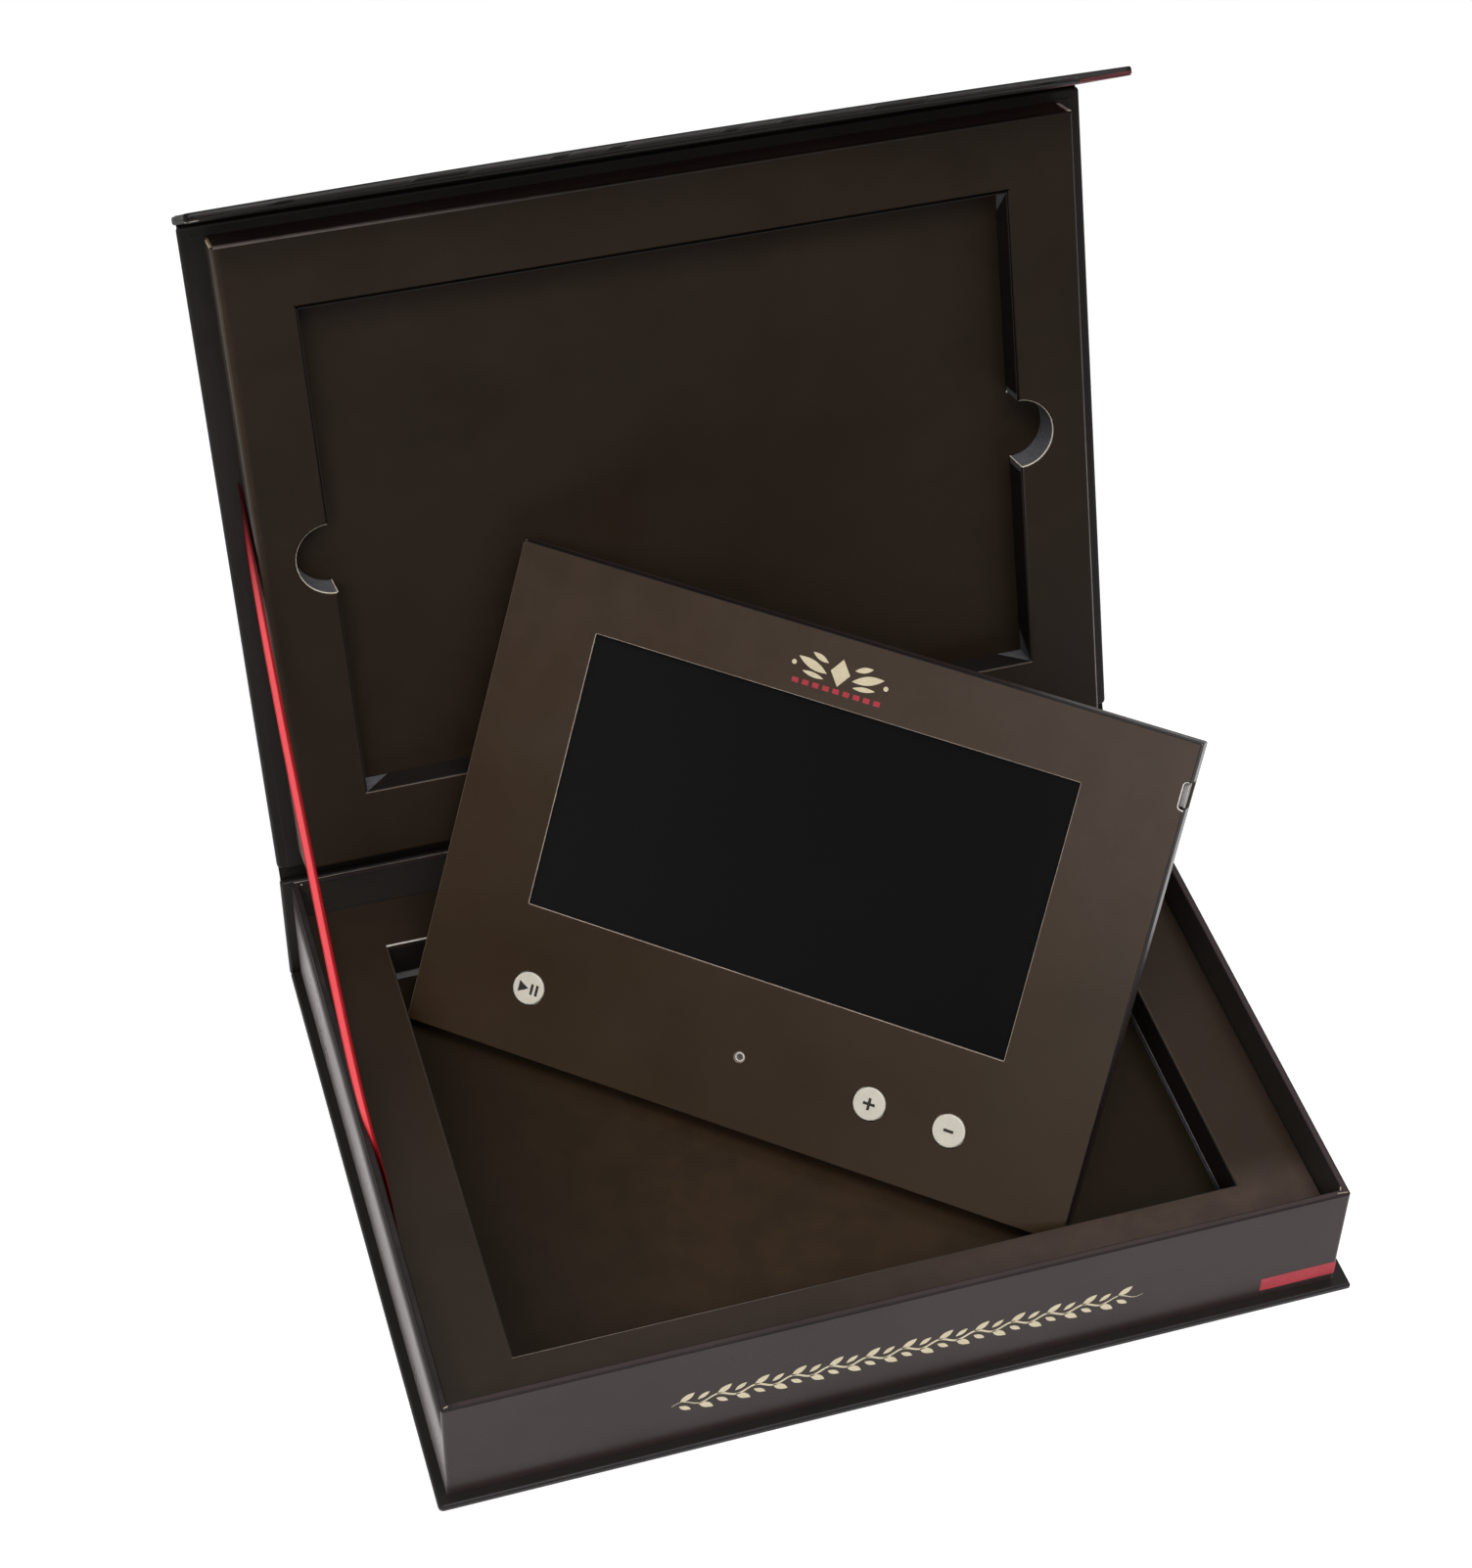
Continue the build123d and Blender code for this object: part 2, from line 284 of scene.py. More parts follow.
def ramp(nt, fac, stops, mode="LINEAR"):
    r = nt.nodes.new("ShaderNodeValToRGB")
    r.color_ramp.interpolation = mode
    el = r.color_ramp.elements
    while len(el) < len(stops):
        el.new(0.5)
    for e, (pos, col) in zip(el, stops):
        e.position = pos
        e.color = (*col, 1)
    nt.links.new(fac, r.inputs["Fac"])
    return r.outputs["Color"]


def to_range(nt, fac, lo, hi, a=0.0, b=1.0):
    m = nt.nodes.new("ShaderNodeMapRange")
    m.inputs["From Min"].default_value = a
    m.inputs["From Max"].default_value = b
    m.inputs["To Min"].default_value = lo
    m.inputs["To Max"].default_value = hi
    nt.links.new(fac, m.inputs["Value"])
    return m.outputs["Result"]


def mix(nt, fac, a, b, mode="MIX"):
    m = nt.nodes.new("ShaderNodeMix")
    m.data_type = "RGBA"
    m.blend_type = mode
    for sock, val in ((0, fac), (6, a), (7, b)):
        if isinstance(val, bpy.types.NodeSocket):
            nt.links.new(val, m.inputs[sock])
        elif sock == 0:
            m.inputs[0].default_value = val
        else:
            m.inputs[sock].default_value = (*val, 1)
    return m.outputs[2]


def maths(nt, op, a, b=0.0):
    m = nt.nodes.new("ShaderNodeMath")
    m.operation = op
    for k, val in enumerate((a, b)):
        if isinstance(val, bpy.types.NodeSocket):
            nt.links.new(val, m.inputs[k])
        else:
            m.inputs[k].default_value = val
    return m.outputs[0]


def bumps(nt, p, heights):
    """Chain of bumps: (height socket, strength, distance in metres)."""
    prev = None
    for h, strength, dist in heights:
        b = nt.nodes.new("ShaderNodeBump")
        b.inputs["Strength"].default_value = strength
        b.inputs["Distance"].default_value = dist
        nt.links.new(h, b.inputs["Height"])
        if prev is not None:
            nt.links.new(prev, b.inputs["Normal"])
        prev = b.outputs["Normal"]
    nt.links.new(prev, p.inputs["Normal"])


def along_axis(nt, axis, a, b, lo=0.0, hi=1.0):
    """lo at place a to hi at place b, in metres along one of the object's axes."""
    tc = nt.nodes.new("ShaderNodeTexCoord")
    sp = nt.nodes.new("ShaderNodeSeparateXYZ")
    nt.links.new(tc.outputs["Object"], sp.inputs["Vector"])
    return to_range(nt, sp.outputs[axis], lo, hi, a, b)


def paper(name, dark, light, rough=(0.40, 0.52), spec=0.5, grain=0.25, warp=0.25, fleck=None, fleck_at=0.7, seed=0.0, tone_ramp=None):
    """Printed and matt-laminated wrapping paper: cloudy print tone, a fine tooth, and a slight waviness of the glued
    sheet.
    tone_ramp is (axis, place of full strength, place of none, strength, colour), with a second axis and its two places
    if wanted: that colour is blended in along the axis, in patches; most papers below use it to paint highlight and
    shade, as noted at each."""
    m, nt, p = new_mat(name, spec=spec, color=tuple((a + b) / 2 for a, b in zip(dark, light)))
    v = coords(nt)
    cloud = noise_tex(nt, v, 11 + seed, 3, 0.55, 0.3)
    mottle = noise_tex(nt, v, 160, 3, 0.6)
    both = maths(nt, "ADD", maths(nt, "MULTIPLY", cloud, 0.8), maths(nt, "MULTIPLY", mottle, 0.2))
    col = ramp(nt, both, [(0.36, dark), (0.64, light)])
    tooth = noise_tex(nt, v, 1900, 2, 0.5)
    col = mix(nt, to_range(nt, tooth, 0.0, 0.22), col, tuple(c * 0.72 for c in dark))
    if fleck:
        chips = noise_tex(nt, v, 420, 4, 0.65)
        k = to_range(nt, chips, 0.0, 1.0, fleck_at, fleck_at + 0.06)
        col = mix(nt, k, col, fleck)
    if tone_ramp:
        patch = to_range(nt, noise_tex(nt, v, 90, 3, 0.6), 0.6, 1.0, 0.35, 0.6)
        tone_amount = maths(nt, "MULTIPLY", patch, along_axis(nt, tone_ramp[0], tone_ramp[2], tone_ramp[1], 0.0, tone_ramp[3]) if tone_ramp[1] > tone_ramp[2] else along_axis(nt, tone_ramp[0], tone_ramp[1], tone_ramp[2], tone_ramp[3], 0.0))
        if len(tone_ramp) > 5:
            tone_amount = maths(nt, "MULTIPLY", tone_amount, along_axis(nt, tone_ramp[5], tone_ramp[6], tone_ramp[7], 1.0, 0.0) if tone_ramp[6] < tone_ramp[7] else along_axis(nt, tone_ramp[5], tone_ramp[7], tone_ramp[6], 0.0, 1.0))
        col = mix(nt, tone_amount, col, tone_ramp[4])
    nt.links.new(col, p.inputs["Base Color"])
    smear = noise_tex(nt, v, 35, 3, 0.6)
    nt.links.new(to_range(nt, smear, rough[0], rough[1], 0.35, 0.65), p.inputs["Roughness"])
    wave = noise_tex(nt, v, 22, 1, 0.4)
    bumps(nt, p, [(tooth, grain, 0.00005), (wave, warp, 0.0006)])
    return m


def board(name, dark, light, scale=(1, 1, 1)):
    """Raw grey board: pulp fibres in flat layers."""
    m, nt, p = new_mat(name, rough=0.85, spec=0.25, color=light)
    v = coords(nt, scale)
    fibre = noise_tex(nt, v, 700, 5, 0.7, 0.6)
    clump = noise_tex(nt, v, 120, 3, 0.6)
    f = maths(nt, "ADD", maths(nt, "MULTIPLY", fibre, 0.6), maths(nt, "MULTIPLY", clump, 0.4))
    nt.links.new(ramp(nt, f, [(0.35, dark), (0.65, light)]), p.inputs["Base Color"])
    bumps(nt, p, [(fibre, 0.5, 0.00012)])
    return m


def ink(name, a, b, rough=0.45):
    """Printed ink: slightly uneven lay-down with the paper's tooth under it."""
    m, nt, p = new_mat(name, rough=rough, spec=0.45, color=a)
    v = coords(nt)
    tooth = noise_tex(nt, v, 1700, 2, 0.5)
    cloud = noise_tex(nt, v, 240, 3, 0.6)
    f = maths(nt, "ADD", maths(nt, "MULTIPLY", tooth, 0.5), maths(nt, "MULTIPLY", cloud, 0.5))
    nt.links.new(ramp(nt, f, [(0.38, a), (0.62, b)]), p.inputs["Base Color"])
    bumps(nt, p, [(tooth, 0.2, 0.00004)])
    return m


WRAP = paper("wrap_paper_inner", lin(40, 30, 21), lin(48, 36, 26), rough=(0.44, 0.54), spec=0.22, seed=0)
# the platform paper is painted lighter along its front strip towards the right: painted light
WRAPP = paper("wrap_paper_platform", lin(40, 30, 21), lin(48, 36, 26), rough=(0.44, 0.54), spec=0.22, seed=0, tone_ramp=("X", 0.09, -0.045, 1.0, lin(72, 57, 50), "Y", -0.084, -0.072))
# the pocket floor is a darker copy of the platform paper, painted shade in the recess, and is painted lighter across
# its middle: painted light
WELL = paper("wrap_paper_well", lin(30, 22, 14), lin(38, 29, 19), rough=(0.5, 0.6), spec=0.1, seed=0.2, tone_ramp=("X", -0.045, -0.1, 1.0, lin(50, 37, 25), "X", 0.02, 0.07))
# the lid face's paper is painted lighter at its left edge: a painted highlight
LIDW = paper("wrap_paper_lid", lin(30, 21, 12), lin(37, 26, 16), rough=(0.44, 0.54), spec=0.22, seed=0.3, tone_ramp=("X", -0.1309, -0.1282, 0.5, lin(78, 62, 46)))
LIDT = paper("wrap_paper_lid_top", lin(58, 46, 42), lin(70, 56, 52), rough=(0.6, 0.7), spec=0.04, seed=0.5)
# the lid tray's left side is painted lighter towards its lower end: a painted highlight
LIDL = paper("wrap_paper_lid_left", lin(44, 34, 29), lin(54, 43, 37), rough=(0.5, 0.6), spec=0.2, seed=0.5, tone_ramp=("Z", 0.05, 0.17, 1.0, lin(122, 102, 92)))
# the pocket's front lip is painted lighter towards its left end: a painted highlight along the fold
LIPF = paper("pocket_front_lip", lin(46, 37, 29), lin(58, 48, 38), rough=(0.4, 0.5), spec=0.3, tone_ramp=("X", -0.11, 0.02, 0.9, lin(160, 148, 134)))
LIDS = paper("wrap_paper_lid_side", lin(58, 44, 38), lin(70, 54, 47), rough=(0.5, 0.6), spec=0.2, seed=0.5)
WALL = paper("wrap_paper_shade", lin(26, 23, 21), lin(33, 29, 26), rough=(0.5, 0.6), spec=0.2, seed=0.7)
TRAYI = paper("wrap_paper_tray_inside", lin(42, 39, 36), lin(52, 48, 45), rough=(0.45, 0.55), spec=0.3, seed=0.9)
CASE = paper("wrap_paper_case", lin(23, 20, 18), lin(31, 27, 24), rough=(0.42, 0.52), spec=0.3, seed=1.3)
CEDGE = paper("wrap_paper_case_edge", lin(22, 19, 19), lin(31, 27, 27), rough=(0.44, 0.54), spec=0.28, fleck=lin(80, 73, 67), fleck_at=0.75)
# rounded edges: worn flecks, on a tone lighter than the flat paper that is a painted highlight
EDGE = paper("wrap_paper_worn_edge_highlight", lin(52, 44, 35), lin(68, 58, 46), rough=(0.40, 0.5), spec=0.35, fleck=lin(120, 106, 86), fleck_at=0.70)
# the rim's rounded edges (RIME) are painted darker than its flat top (RIMF): painted shade on the edges, painted light
# on the top; both carry worn flecks and are darker along the left wall
RIME = paper("wrap_paper_rim", lin(31, 25, 25), lin(42, 34, 34), rough=(0.46, 0.56), spec=0.14, fleck=lin(110, 100, 94), fleck_at=0.76, tone_ramp=("X", -0.1324, -0.129, 1.0, lin(32, 27, 27)))
RIMF = paper("wrap_paper_rim_face", lin(52, 43, 43), lin(66, 55, 55), rough=(0.46, 0.56), spec=0.16, fleck=lin(110, 100, 94), fleck_at=0.78, tone_ramp=("X", -0.1324, -0.129, 1.0, lin(36, 31, 31)))
# the lid face's top fold is painted lighter towards its left end and its right fold towards its lower end: painted
# highlights
TOPE = paper("wrap_paper_lid_top_fold", lin(28, 21, 15), lin(36, 27, 20), rough=(0.40, 0.5), spec=0.3, tone_ramp=("X", -0.1309, -0.02, 0.9, lin(128, 116, 112)))
SIDEE = paper("wrap_paper_lid_side_fold", lin(46, 40, 34), lin(62, 54, 47), rough=(0.40, 0.5), spec=0.3, tone_ramp=("Z", 0.06, 0.20, 1.0, lin(150, 138, 130)))


def tray_paper(name, dark, light, spec, sheen):
    m = paper(name, dark, light, rough=(0.27, 0.35), spec=spec, grain=0.12, warp=0.1, seed=2.1)
    q = m.node_tree.nodes["Principled BSDF"]
    q.inputs["Specular Tint"].default_value = (1.0, 0.93, 0.91, 1)
    q.inputs["Sheen Tint"].default_value = (1.0, 0.92, 0.86, 1)
    q.inputs["Sheen Weight"].default_value = sheen
    q.inputs["Sheen Roughness"].default_value = 0.35
    return m


TRAYW = tray_paper("wrap_paper_tray", lin(37, 28, 29), lin(45, 35, 36), 0.24, 0.2)
TRAYF = tray_paper("wrap_paper_tray_front", lin(37, 28, 27), lin(45, 35, 34), 0.19, 0.13)
# the left wall's sheen fades in steps towards its top edge; the lighter base colour of these steps is a painted
# reflection that stands in for the sheen taken away
TRAYT = [tray_paper("wrap_paper_tray_sheen_fade_%d" % k, lin(c - 4, c - 11, c - 11), lin(c + 4, c - 3, c - 3), s, h)
         for k, (c, s, h) in enumerate(((60, 0.0, 0.0), (60, 0.0003, 0.03), (60, 0.002, 0.07), (58.5, 0.025, 0.13)))]
# the card's print is painted lighter towards its top: painted light
PRINT = paper("player_card_print", lin(44, 30, 13), lin(51, 36, 18), rough=(0.37, 0.43), spec=0.34, warp=0.1, seed=3.7, tone_ramp=("Z", 0.108, 0.077, 0.9, lin(57, 43, 31)))
SIDE = paper("player_side_wrap", lin(32, 24, 22), lin(42, 33, 31), rough=(0.62, 0.75), spec=0.12, seed=0.4)
SIDET = paper("player_top_side", lin(38, 29, 26), lin(48, 38, 35), rough=(0.44, 0.54), spec=0.35, grain=0.15, warp=0.1, seed=0.8)
SIDEG = paper("player_side_gloss", lin(34, 27, 29), lin(43, 35, 37), rough=(0.24, 0.32), spec=0.5, grain=0.1, warp=0.1, seed=0.6)
EDGL = paper("dim_fold_line", lin(84, 73, 65), lin(108, 95, 85), rough=(0.5, 0.6), spec=0.2)
DARK = paper("fold_shade", lin(13, 11, 10), lin(20, 17, 14), rough=(0.6, 0.7), spec=0.15)
# near-black band painted along the top edge of the lid's pocket: a painted contact shadow
SHADOW_LINE = paper("painted_contact_shadow", lin(5, 3, 2), lin(9, 6, 4), rough=(0.7, 0.8), spec=0.03)
RAW = board("raw_grey_board", lin(118, 117, 115), lin(154, 152, 148))
RAWD = board("raw_grey_board_shade", lin(78, 78, 82), lin(104, 104, 108))
CUT = board("cut_paper_edge", lin(186, 174, 154), lin(224, 216, 200))
CUTW = board("cut_paper_edge_white", lin(204, 197, 190), lin(236, 230, 224))
# the pocket lining's cut band is pale, painted grey towards the pocket's left-hand corner: painted shade
BAND = paper("wrap_paper_cut_band", lin(56, 54, 54), lin(66, 64, 64), rough=(0.6, 0.7), spec=0.15, tone_ramp=("X", -0.086, -0.103, 1.0, lin(232, 230, 232)))
TAN = board("rubbed_corner_tan", lin(178, 156, 122), lin(214, 194, 160))
LINE = board("player_card_edge", lin(136, 124, 114), lin(176, 164, 152))
CARD = board("player_board", lin(150, 148, 146), lin(188, 186, 184))
INKC = ink("ink_cream", lin(196, 184, 152), lin(208, 197, 168))
INKR = ink("ink_red", lin(156, 34, 48), lin(172, 46, 60), 0.55)
INKD = ink("ink_dark", lin(34, 30, 29), lin(46, 41, 39))
# the red on the flap is a darker copy of the front bar's red: painted shade
INKRD = ink("ink_red_flap", lin(82, 30, 36), lin(98, 38, 44), 0.65)


def ribbon_mat(name, a, b, rough, spec=0.16):
    """Satin ribbon: fine cross ribs with a soft sheen along them."""
    m, nt, p = new_mat(name, rough=rough, spec=spec, color=a)
    v = coords(nt)
    w = nt.nodes.new("ShaderNodeTexWave")
    w.wave_type, w.bands_direction = "BANDS", "Z"
    w.inputs["Scale"].default_value = 420
    w.inputs["Distortion"].default_value = 1.2
    w.inputs["Detail"].default_value = 2
    nt.links.new(v, w.inputs["Vector"])
    thread = noise_tex(nt, v, 2600, 2, 0.6)
    f = maths(nt, "ADD", maths(nt, "MULTIPLY", w.outputs["Fac"], 0.55), maths(nt, "MULTIPLY", thread, 0.45))
    col = ramp(nt, f, [(0.25, a), (0.75, b)])
    # painted shade towards each end, where it is glued down and runs into the shade of the tray wall and of the lid
    end_shade = maths(nt, "MULTIPLY", along_axis(nt, "Z", 0.032, 0.047, 0.1, 1.0), along_axis(nt, "Z", 0.1375, 0.161, 1.0, 0.0))
    nt.links.new(mix(nt, end_shade, lin(58, 13, 18), col), p.inputs["Base Color"])
    nt.links.new(to_range(nt, thread, rough - 0.08, rough + 0.1), p.inputs["Roughness"])
    bumps(nt, p, [(w.outputs["Fac"], 0.35, 0.00006), (thread, 0.3, 0.00004)])
    return m


RIB = ribbon_mat("ribbon_satin", lin(246, 26, 42), lin(255, 54, 68), 0.5)
# the ribbon's shoulders and selvedges are darker copies of the satin: painted shade across the hollowed strip, on top
# of the selvedge cord's own darker weave
RIBM = ribbon_mat("ribbon_shoulder_shaded", lin(190, 8, 26), lin(220, 22, 42), 0.5, 0.06)
RIBE = ribbon_mat("ribbon_selvedge_shaded", lin(128, 0, 10), lin(160, 2, 18), 0.6, 0.02)


def cap_mat():
    m, nt, p = new_mat("button_cap_plastic", rough=0.38, spec=0.45, color=lin(222, 219, 206))
    v = coords(nt)
    spark = noise_tex(nt, v, 1500, 2, 0.5)
    soil = noise_tex(nt, v, 260, 4, 0.6)
    col = ramp(nt, soil, [(0.35, lin(205, 200, 186)), (0.65, lin(213, 208, 194))])
    nt.links.new(col, p.inputs["Base Color"])
    nt.links.new(to_range(nt, spark, 0.34, 0.46), p.inputs["Roughness"])
    bumps(nt, p, [(spark, 0.15, 0.00003)])
    return m


def screen_mat():
    """Anti-glare polariser over a dark panel, with the faint pixel raster."""
    m, nt, p = new_mat("lcd_polariser", rough=0.3, spec=0.04, color=lin(21, 21, 22))
    v = coords(nt)
    cloud = noise_tex(nt, v, 14, 2, 0.5)
    glare = noise_tex(nt, v, 3200, 2, 0.5)
    col = ramp(nt, cloud, [(0.35, lin(14, 14, 14)), (0.65, lin(16, 16, 16))])
    # the panel is painted lighter towards the left: painted light
    nt.links.new(mix(nt, along_axis(nt, "X", -0.07, 0.05, 1.0, 0.0), col, lin(25, 25, 25)), p.inputs["Base Color"])
    nt.links.new(to_range(nt, glare, 0.26, 0.36), p.inputs["Roughness"])
    bumps(nt, p, [(glare, 0.06, 0.00002)])
    return m


def metal(name, a, b, rough=(0.2, 0.35), stretch=(1, 1, 1)):
    m, nt, p = new_mat(name, metal=1.0, color=a)
    v = coords(nt, stretch)
    n1 = noise_tex(nt, v, 600, 4, 0.6)
    n2 = noise_tex(nt, v, 90, 3, 0.6)
    nt.links.new(ramp(nt, n2, [(0.35, a), (0.65, b)]), p.inputs["Base Color"])
    nt.links.new(to_range(nt, n1, rough[0], rough[1], 0.3, 0.7), p.inputs["Roughness"])
    bumps(nt, p, [(n1, 0.12, 0.00004)])
    return m


def pcb_mat():
    m, nt, p = new_mat("circuit_board", rough=0.35, spec=0.5, color=(0.02, 0.16, 0.06))
    v = coords(nt)
    vo = nt.nodes.new("ShaderNodeTexVoronoi")
    vo.feature, vo.distance = "DISTANCE_TO_EDGE", "EUCLIDEAN"
    vo.inputs["Scale"].default_value = 260
    nt.links.new(v, vo.inputs["Vector"])
    line = to_range(nt, vo.outputs["Distance"], 1.0, 0.0, 0.02, 0.05)
    mask = noise_tex(nt, v, 700, 3, 0.6)
    col = mix(nt, line, lin(18, 92, 48), lin(40, 132, 72))
    col = mix(nt, to_range(nt, mask, 0, 0.4, 0.55, 0.7), col, lin(12, 60, 34))
    nt.links.new(col, p.inputs["Base Color"])
    nt.links.new(to_range(nt, mask, 0.28, 0.45), p.inputs["Roughness"])
    bumps(nt, p, [(line, 0.4, 0.00005)])
    return m


def plastic(name, a, b, rough=0.45, scale=900):
    m, nt, p = new_mat(name, rough=rough, spec=0.45, color=a)
    v = coords(nt)
    n = noise_tex(nt, v, scale, 3, 0.55)
    n2 = noise_tex(nt, v, 70, 3, 0.55)
    nt.links.new(ramp(nt, n2, [(0.35, a), (0.65, b)]), p.inputs["Base Color"])
    nt.links.new(to_range(nt, n, rough - 0.06, rough + 0.08), p.inputs["Roughness"])
    bumps(nt, p, [(n, 0.2, 0.00005)])
    return m


def foam_mat():
    m, nt, p = new_mat("foam", rough=0.95, spec=0.2, color=(0.05, 0.05, 0.05))
    v = coords(nt)
    vo = nt.nodes.new("ShaderNodeTexVoronoi")
    vo.inputs["Scale"].default_value = 900
    nt.links.new(v, vo.inputs["Vector"])
    nt.links.new(ramp(nt, vo.outputs["Distance"], [(0.0, lin(30, 30, 32)), (0.7, lin(70, 70, 74))]), p.inputs["Base Color"])
    bumps(nt, p, [(vo.outputs["Distance"], 0.8, 0.0003)])
    return m


def lens_mat():
    m, nt, p = new_mat("led_lens", rough=0.18, spec=0.5, color=lin(196, 190, 184))
    v = coords(nt)
    n = noise_tex(nt, v, 1200, 3, 0.6)
    nt.links.new(ramp(nt, n, [(0.3, lin(176, 168, 160)), (0.7, lin(208, 202, 196))]), p.inputs["Base Color"])
    p.inputs["Coat Weight"].default_value = 0.5
    p.inputs["Coat Roughness"].default_value = 0.08
    bumps(nt, p, [(n, 0.1, 0.00003)])
    return m


CAP, SCREEN, PCB, FOAM, LENS = cap_mat(), screen_mat(), pcb_mat(), foam_mat(), lens_mat()
NICKEL = metal("magnet_nickel", lin(176, 178, 182), lin(200, 202, 206))
STEEL = metal("connector_steel", lin(158, 156, 154), lin(188, 186, 184), (0.22, 0.36))
STEEL.diffuse_color = (0.6, 0.6, 0.6, 1)
STEEL.node_tree.nodes["Principled BSDF"].inputs["Metallic"].default_value = 0.3
GOLD = metal("contact_gold", lin(212, 170, 84), lin(228, 190, 104), (0.15, 0.28))
LCDF = metal("lcd_back_frame", lin(150, 152, 156), lin(176, 178, 182), (0.28, 0.45))
FOIL = plastic("battery_wrap", lin(150, 154, 162), lin(176, 180, 186), 0.3, 300)
FLEX = plastic("flex_film", lin(150, 84, 24), lin(176, 104, 36), 0.3)
BLACKP = plastic("moulded_black", lin(24, 24, 26), lin(34, 34, 36), 0.5)
SPK = plastic("speaker_frame", lin(36, 36, 40), lin(52, 52, 56), 0.4)
DOME = metal("switch_dome", lin(186, 186, 188), lin(206, 206, 208))
HOLE = plastic("led_well", lin(74, 66, 60), lin(88, 80, 74), 0.5)

# ------------------------------------------------------------------ CAD nodes that stay, with their finishes
KEEP = {
    "tray_floor": RAW, "pocket_floor": WELL, "pocket_foam": FOAM, "base_magnet_left": NICKEL, "base_magnet_right": NICKEL,
    "insert_wall_front": RAWD, "insert_wall_back": RAW, "insert_wall_left": RAWD, "insert_wall_right": RAWD,
    "ribbon_tail_base": RIB, "ribbon_tail_lid": RIB, "lid_backing": LIDW, "flap_magnet_left": NICKEL, "flap_magnet_right": NICKEL,
    "lcd_backlight": LCDF, "lcd_flex": FLEX, "main_board": PCB, "usb_board": PCB, "battery": FOIL, "speaker": SPK,
    "button_board_left": PCB, "button_board_right": PCB, "switch_play": DOME, "switch_plus": DOME, "switch_minus": DOME,
}
for node, m in KEEP.items():
    for sl in NODES[node].material_slots:
        sl.material = m

# ------------------------------------------------------------------ case boards
W3 = [CASE, CEDGE, CUT]


def wrapped(outline, w0, w1, axes, re=0.8):
    return plate(outline, [], both_rounds(re, w0, w1, 1, 0), [], axes)


def at_base_skewed(p):
    """The base board's right end is cut a little out of square."""
    return at_base((p[0] + 1.4 * max(p[0], 0) / BX * (TY + 0.2 - p[1]) / (2 * TY + 3.4), p[1], p[2]))


make("case_base", wrapped(rrect(-BX, BX, -TY - 3.2, TY + 0.2, (1.6, 0.6, 0.8, 0.8)), 2.5, 0.0, XY, 0.9), at_base_skewed, W3, "base", ["base_board"])
make("case_spine", wrapped(rrect(-BX, BX, 0.4, 43.0, 1.0), 105.8, 103.3, XZ, 0.8), at_base, W3, "base", ["spine_board"])
make("case_cover", wrapped(rrect(-BX, BX, -103.15, 104.15, 1.4), 46.1, 43.6, XY, 0.9), at_lid, W3, "lid", ["cover_board"])


def bowed(p):
    """The flap's free edge bows outward a little between its ends, and its right end is cut a little out of square."""
    skew = 2.0 * max(p[0] - 124.0, 0) / 15.1 * (44.7 - p[2]) / 41.9
    return (p[0] + skew, p[1] - 0.0215 * (44.7 - p[2]) * (1 - (p[0] / FLAP_X) ** 2), p[2])


def at_bowed(p):
    return at_flap(bowed(p))


def flap_board():
    """Wrapped board drawn as sections along x, with the red sheet turned over the free edge at one end."""
    s = Shape()
    X, r0, r1, e = FLAP_X, 2.0, 1.2, 0.8
    half = [X - r0 * (1 - math.cos(math.radians(a))) for a in (0, 14, 28, 42, 56, 70, 84, 90)] + [X - 3.5]
    half += [124.0 - 124.0 * k / 22 for k in range(23)]
    xs = half + [-x for x in half[::-1][1:]]

    def ring(x):
        d = X - abs(x)
        zo = r0 - math.sqrt(max(r0 * r0 - (r0 - d) ** 2, 0)) if d < r0 else 0
        zt = r1 - math.sqrt(max(r1 * r1 - (r1 - d) ** 2, 0)) if d < r1 else 0
        yi = e - math.sqrt(max(e * e - (e - d) ** 2, 0)) if d < e else 0
        y0, y1, z0, z1, q = -106.1 + yi, -103.6 - yi, 2.8 + zo, 44.7 - zt, max(e - yi, 0.04)
        pts = []
        for cy, cz, a0 in ((y1 - q, z0 + q, 270), (y1 - q, z1 - q, 0), (y0 + q, z1 - q, 90), (y0 + q, z0 + q, 180)):
            for k in range(5):
                a = math.radians(a0 + 90 * k / 4)
                pts.append((x, cy + q * math.cos(a), cz + q * math.sin(a)))
        pts.append((x, (y0 + y1) / 2 + 0.1 + 0.5 * min(max((132 - x) / 8.5, 0), 1), z0))
        return s.ring(pts)

    ids = [ring(x) for x in xs]
    for (xa, a), (xb, b) in zip(zip(xs, ids), zip(xs[1:], ids[1:])):
        red = xa > 123.5 and xb > 123.5
        end = xa < 1.6 - X
        s.join(a, b, lambda i: 3 if end else (2 if red and i in (0, 1, 2, 3, 20) else (0 if i in (4, 9, 14, 19, 20) else 1)), True)
    s.fill([ids[0]], 1)
    s.fill([ids[-1]], 3)
    return s


make("case_flap", flap_board(), at_bowed, [CASE, CEDGE, INKRD, DARK], "flap", ["flap_board"])


def lining(outline, w0, w1, axes, shape=None):
    """A pasted-down sheet; only its left edge is rubbed pale."""
    left = lambda i: 1 if i == 23 else 0
    return plate(outline, [], [(0.25, w1, left, False), (0.0, w1 + (w0 - w1) * 0.4, left, False), (0.0, w0, 0, False)], [], axes, shape=shape)


make("cover_lining", lining(rrect(-135.2, 135.2, -100.3, 104.0, 0.4), 43.7, 43.38, XY), at_lid, [CASE, RIME], "lid")


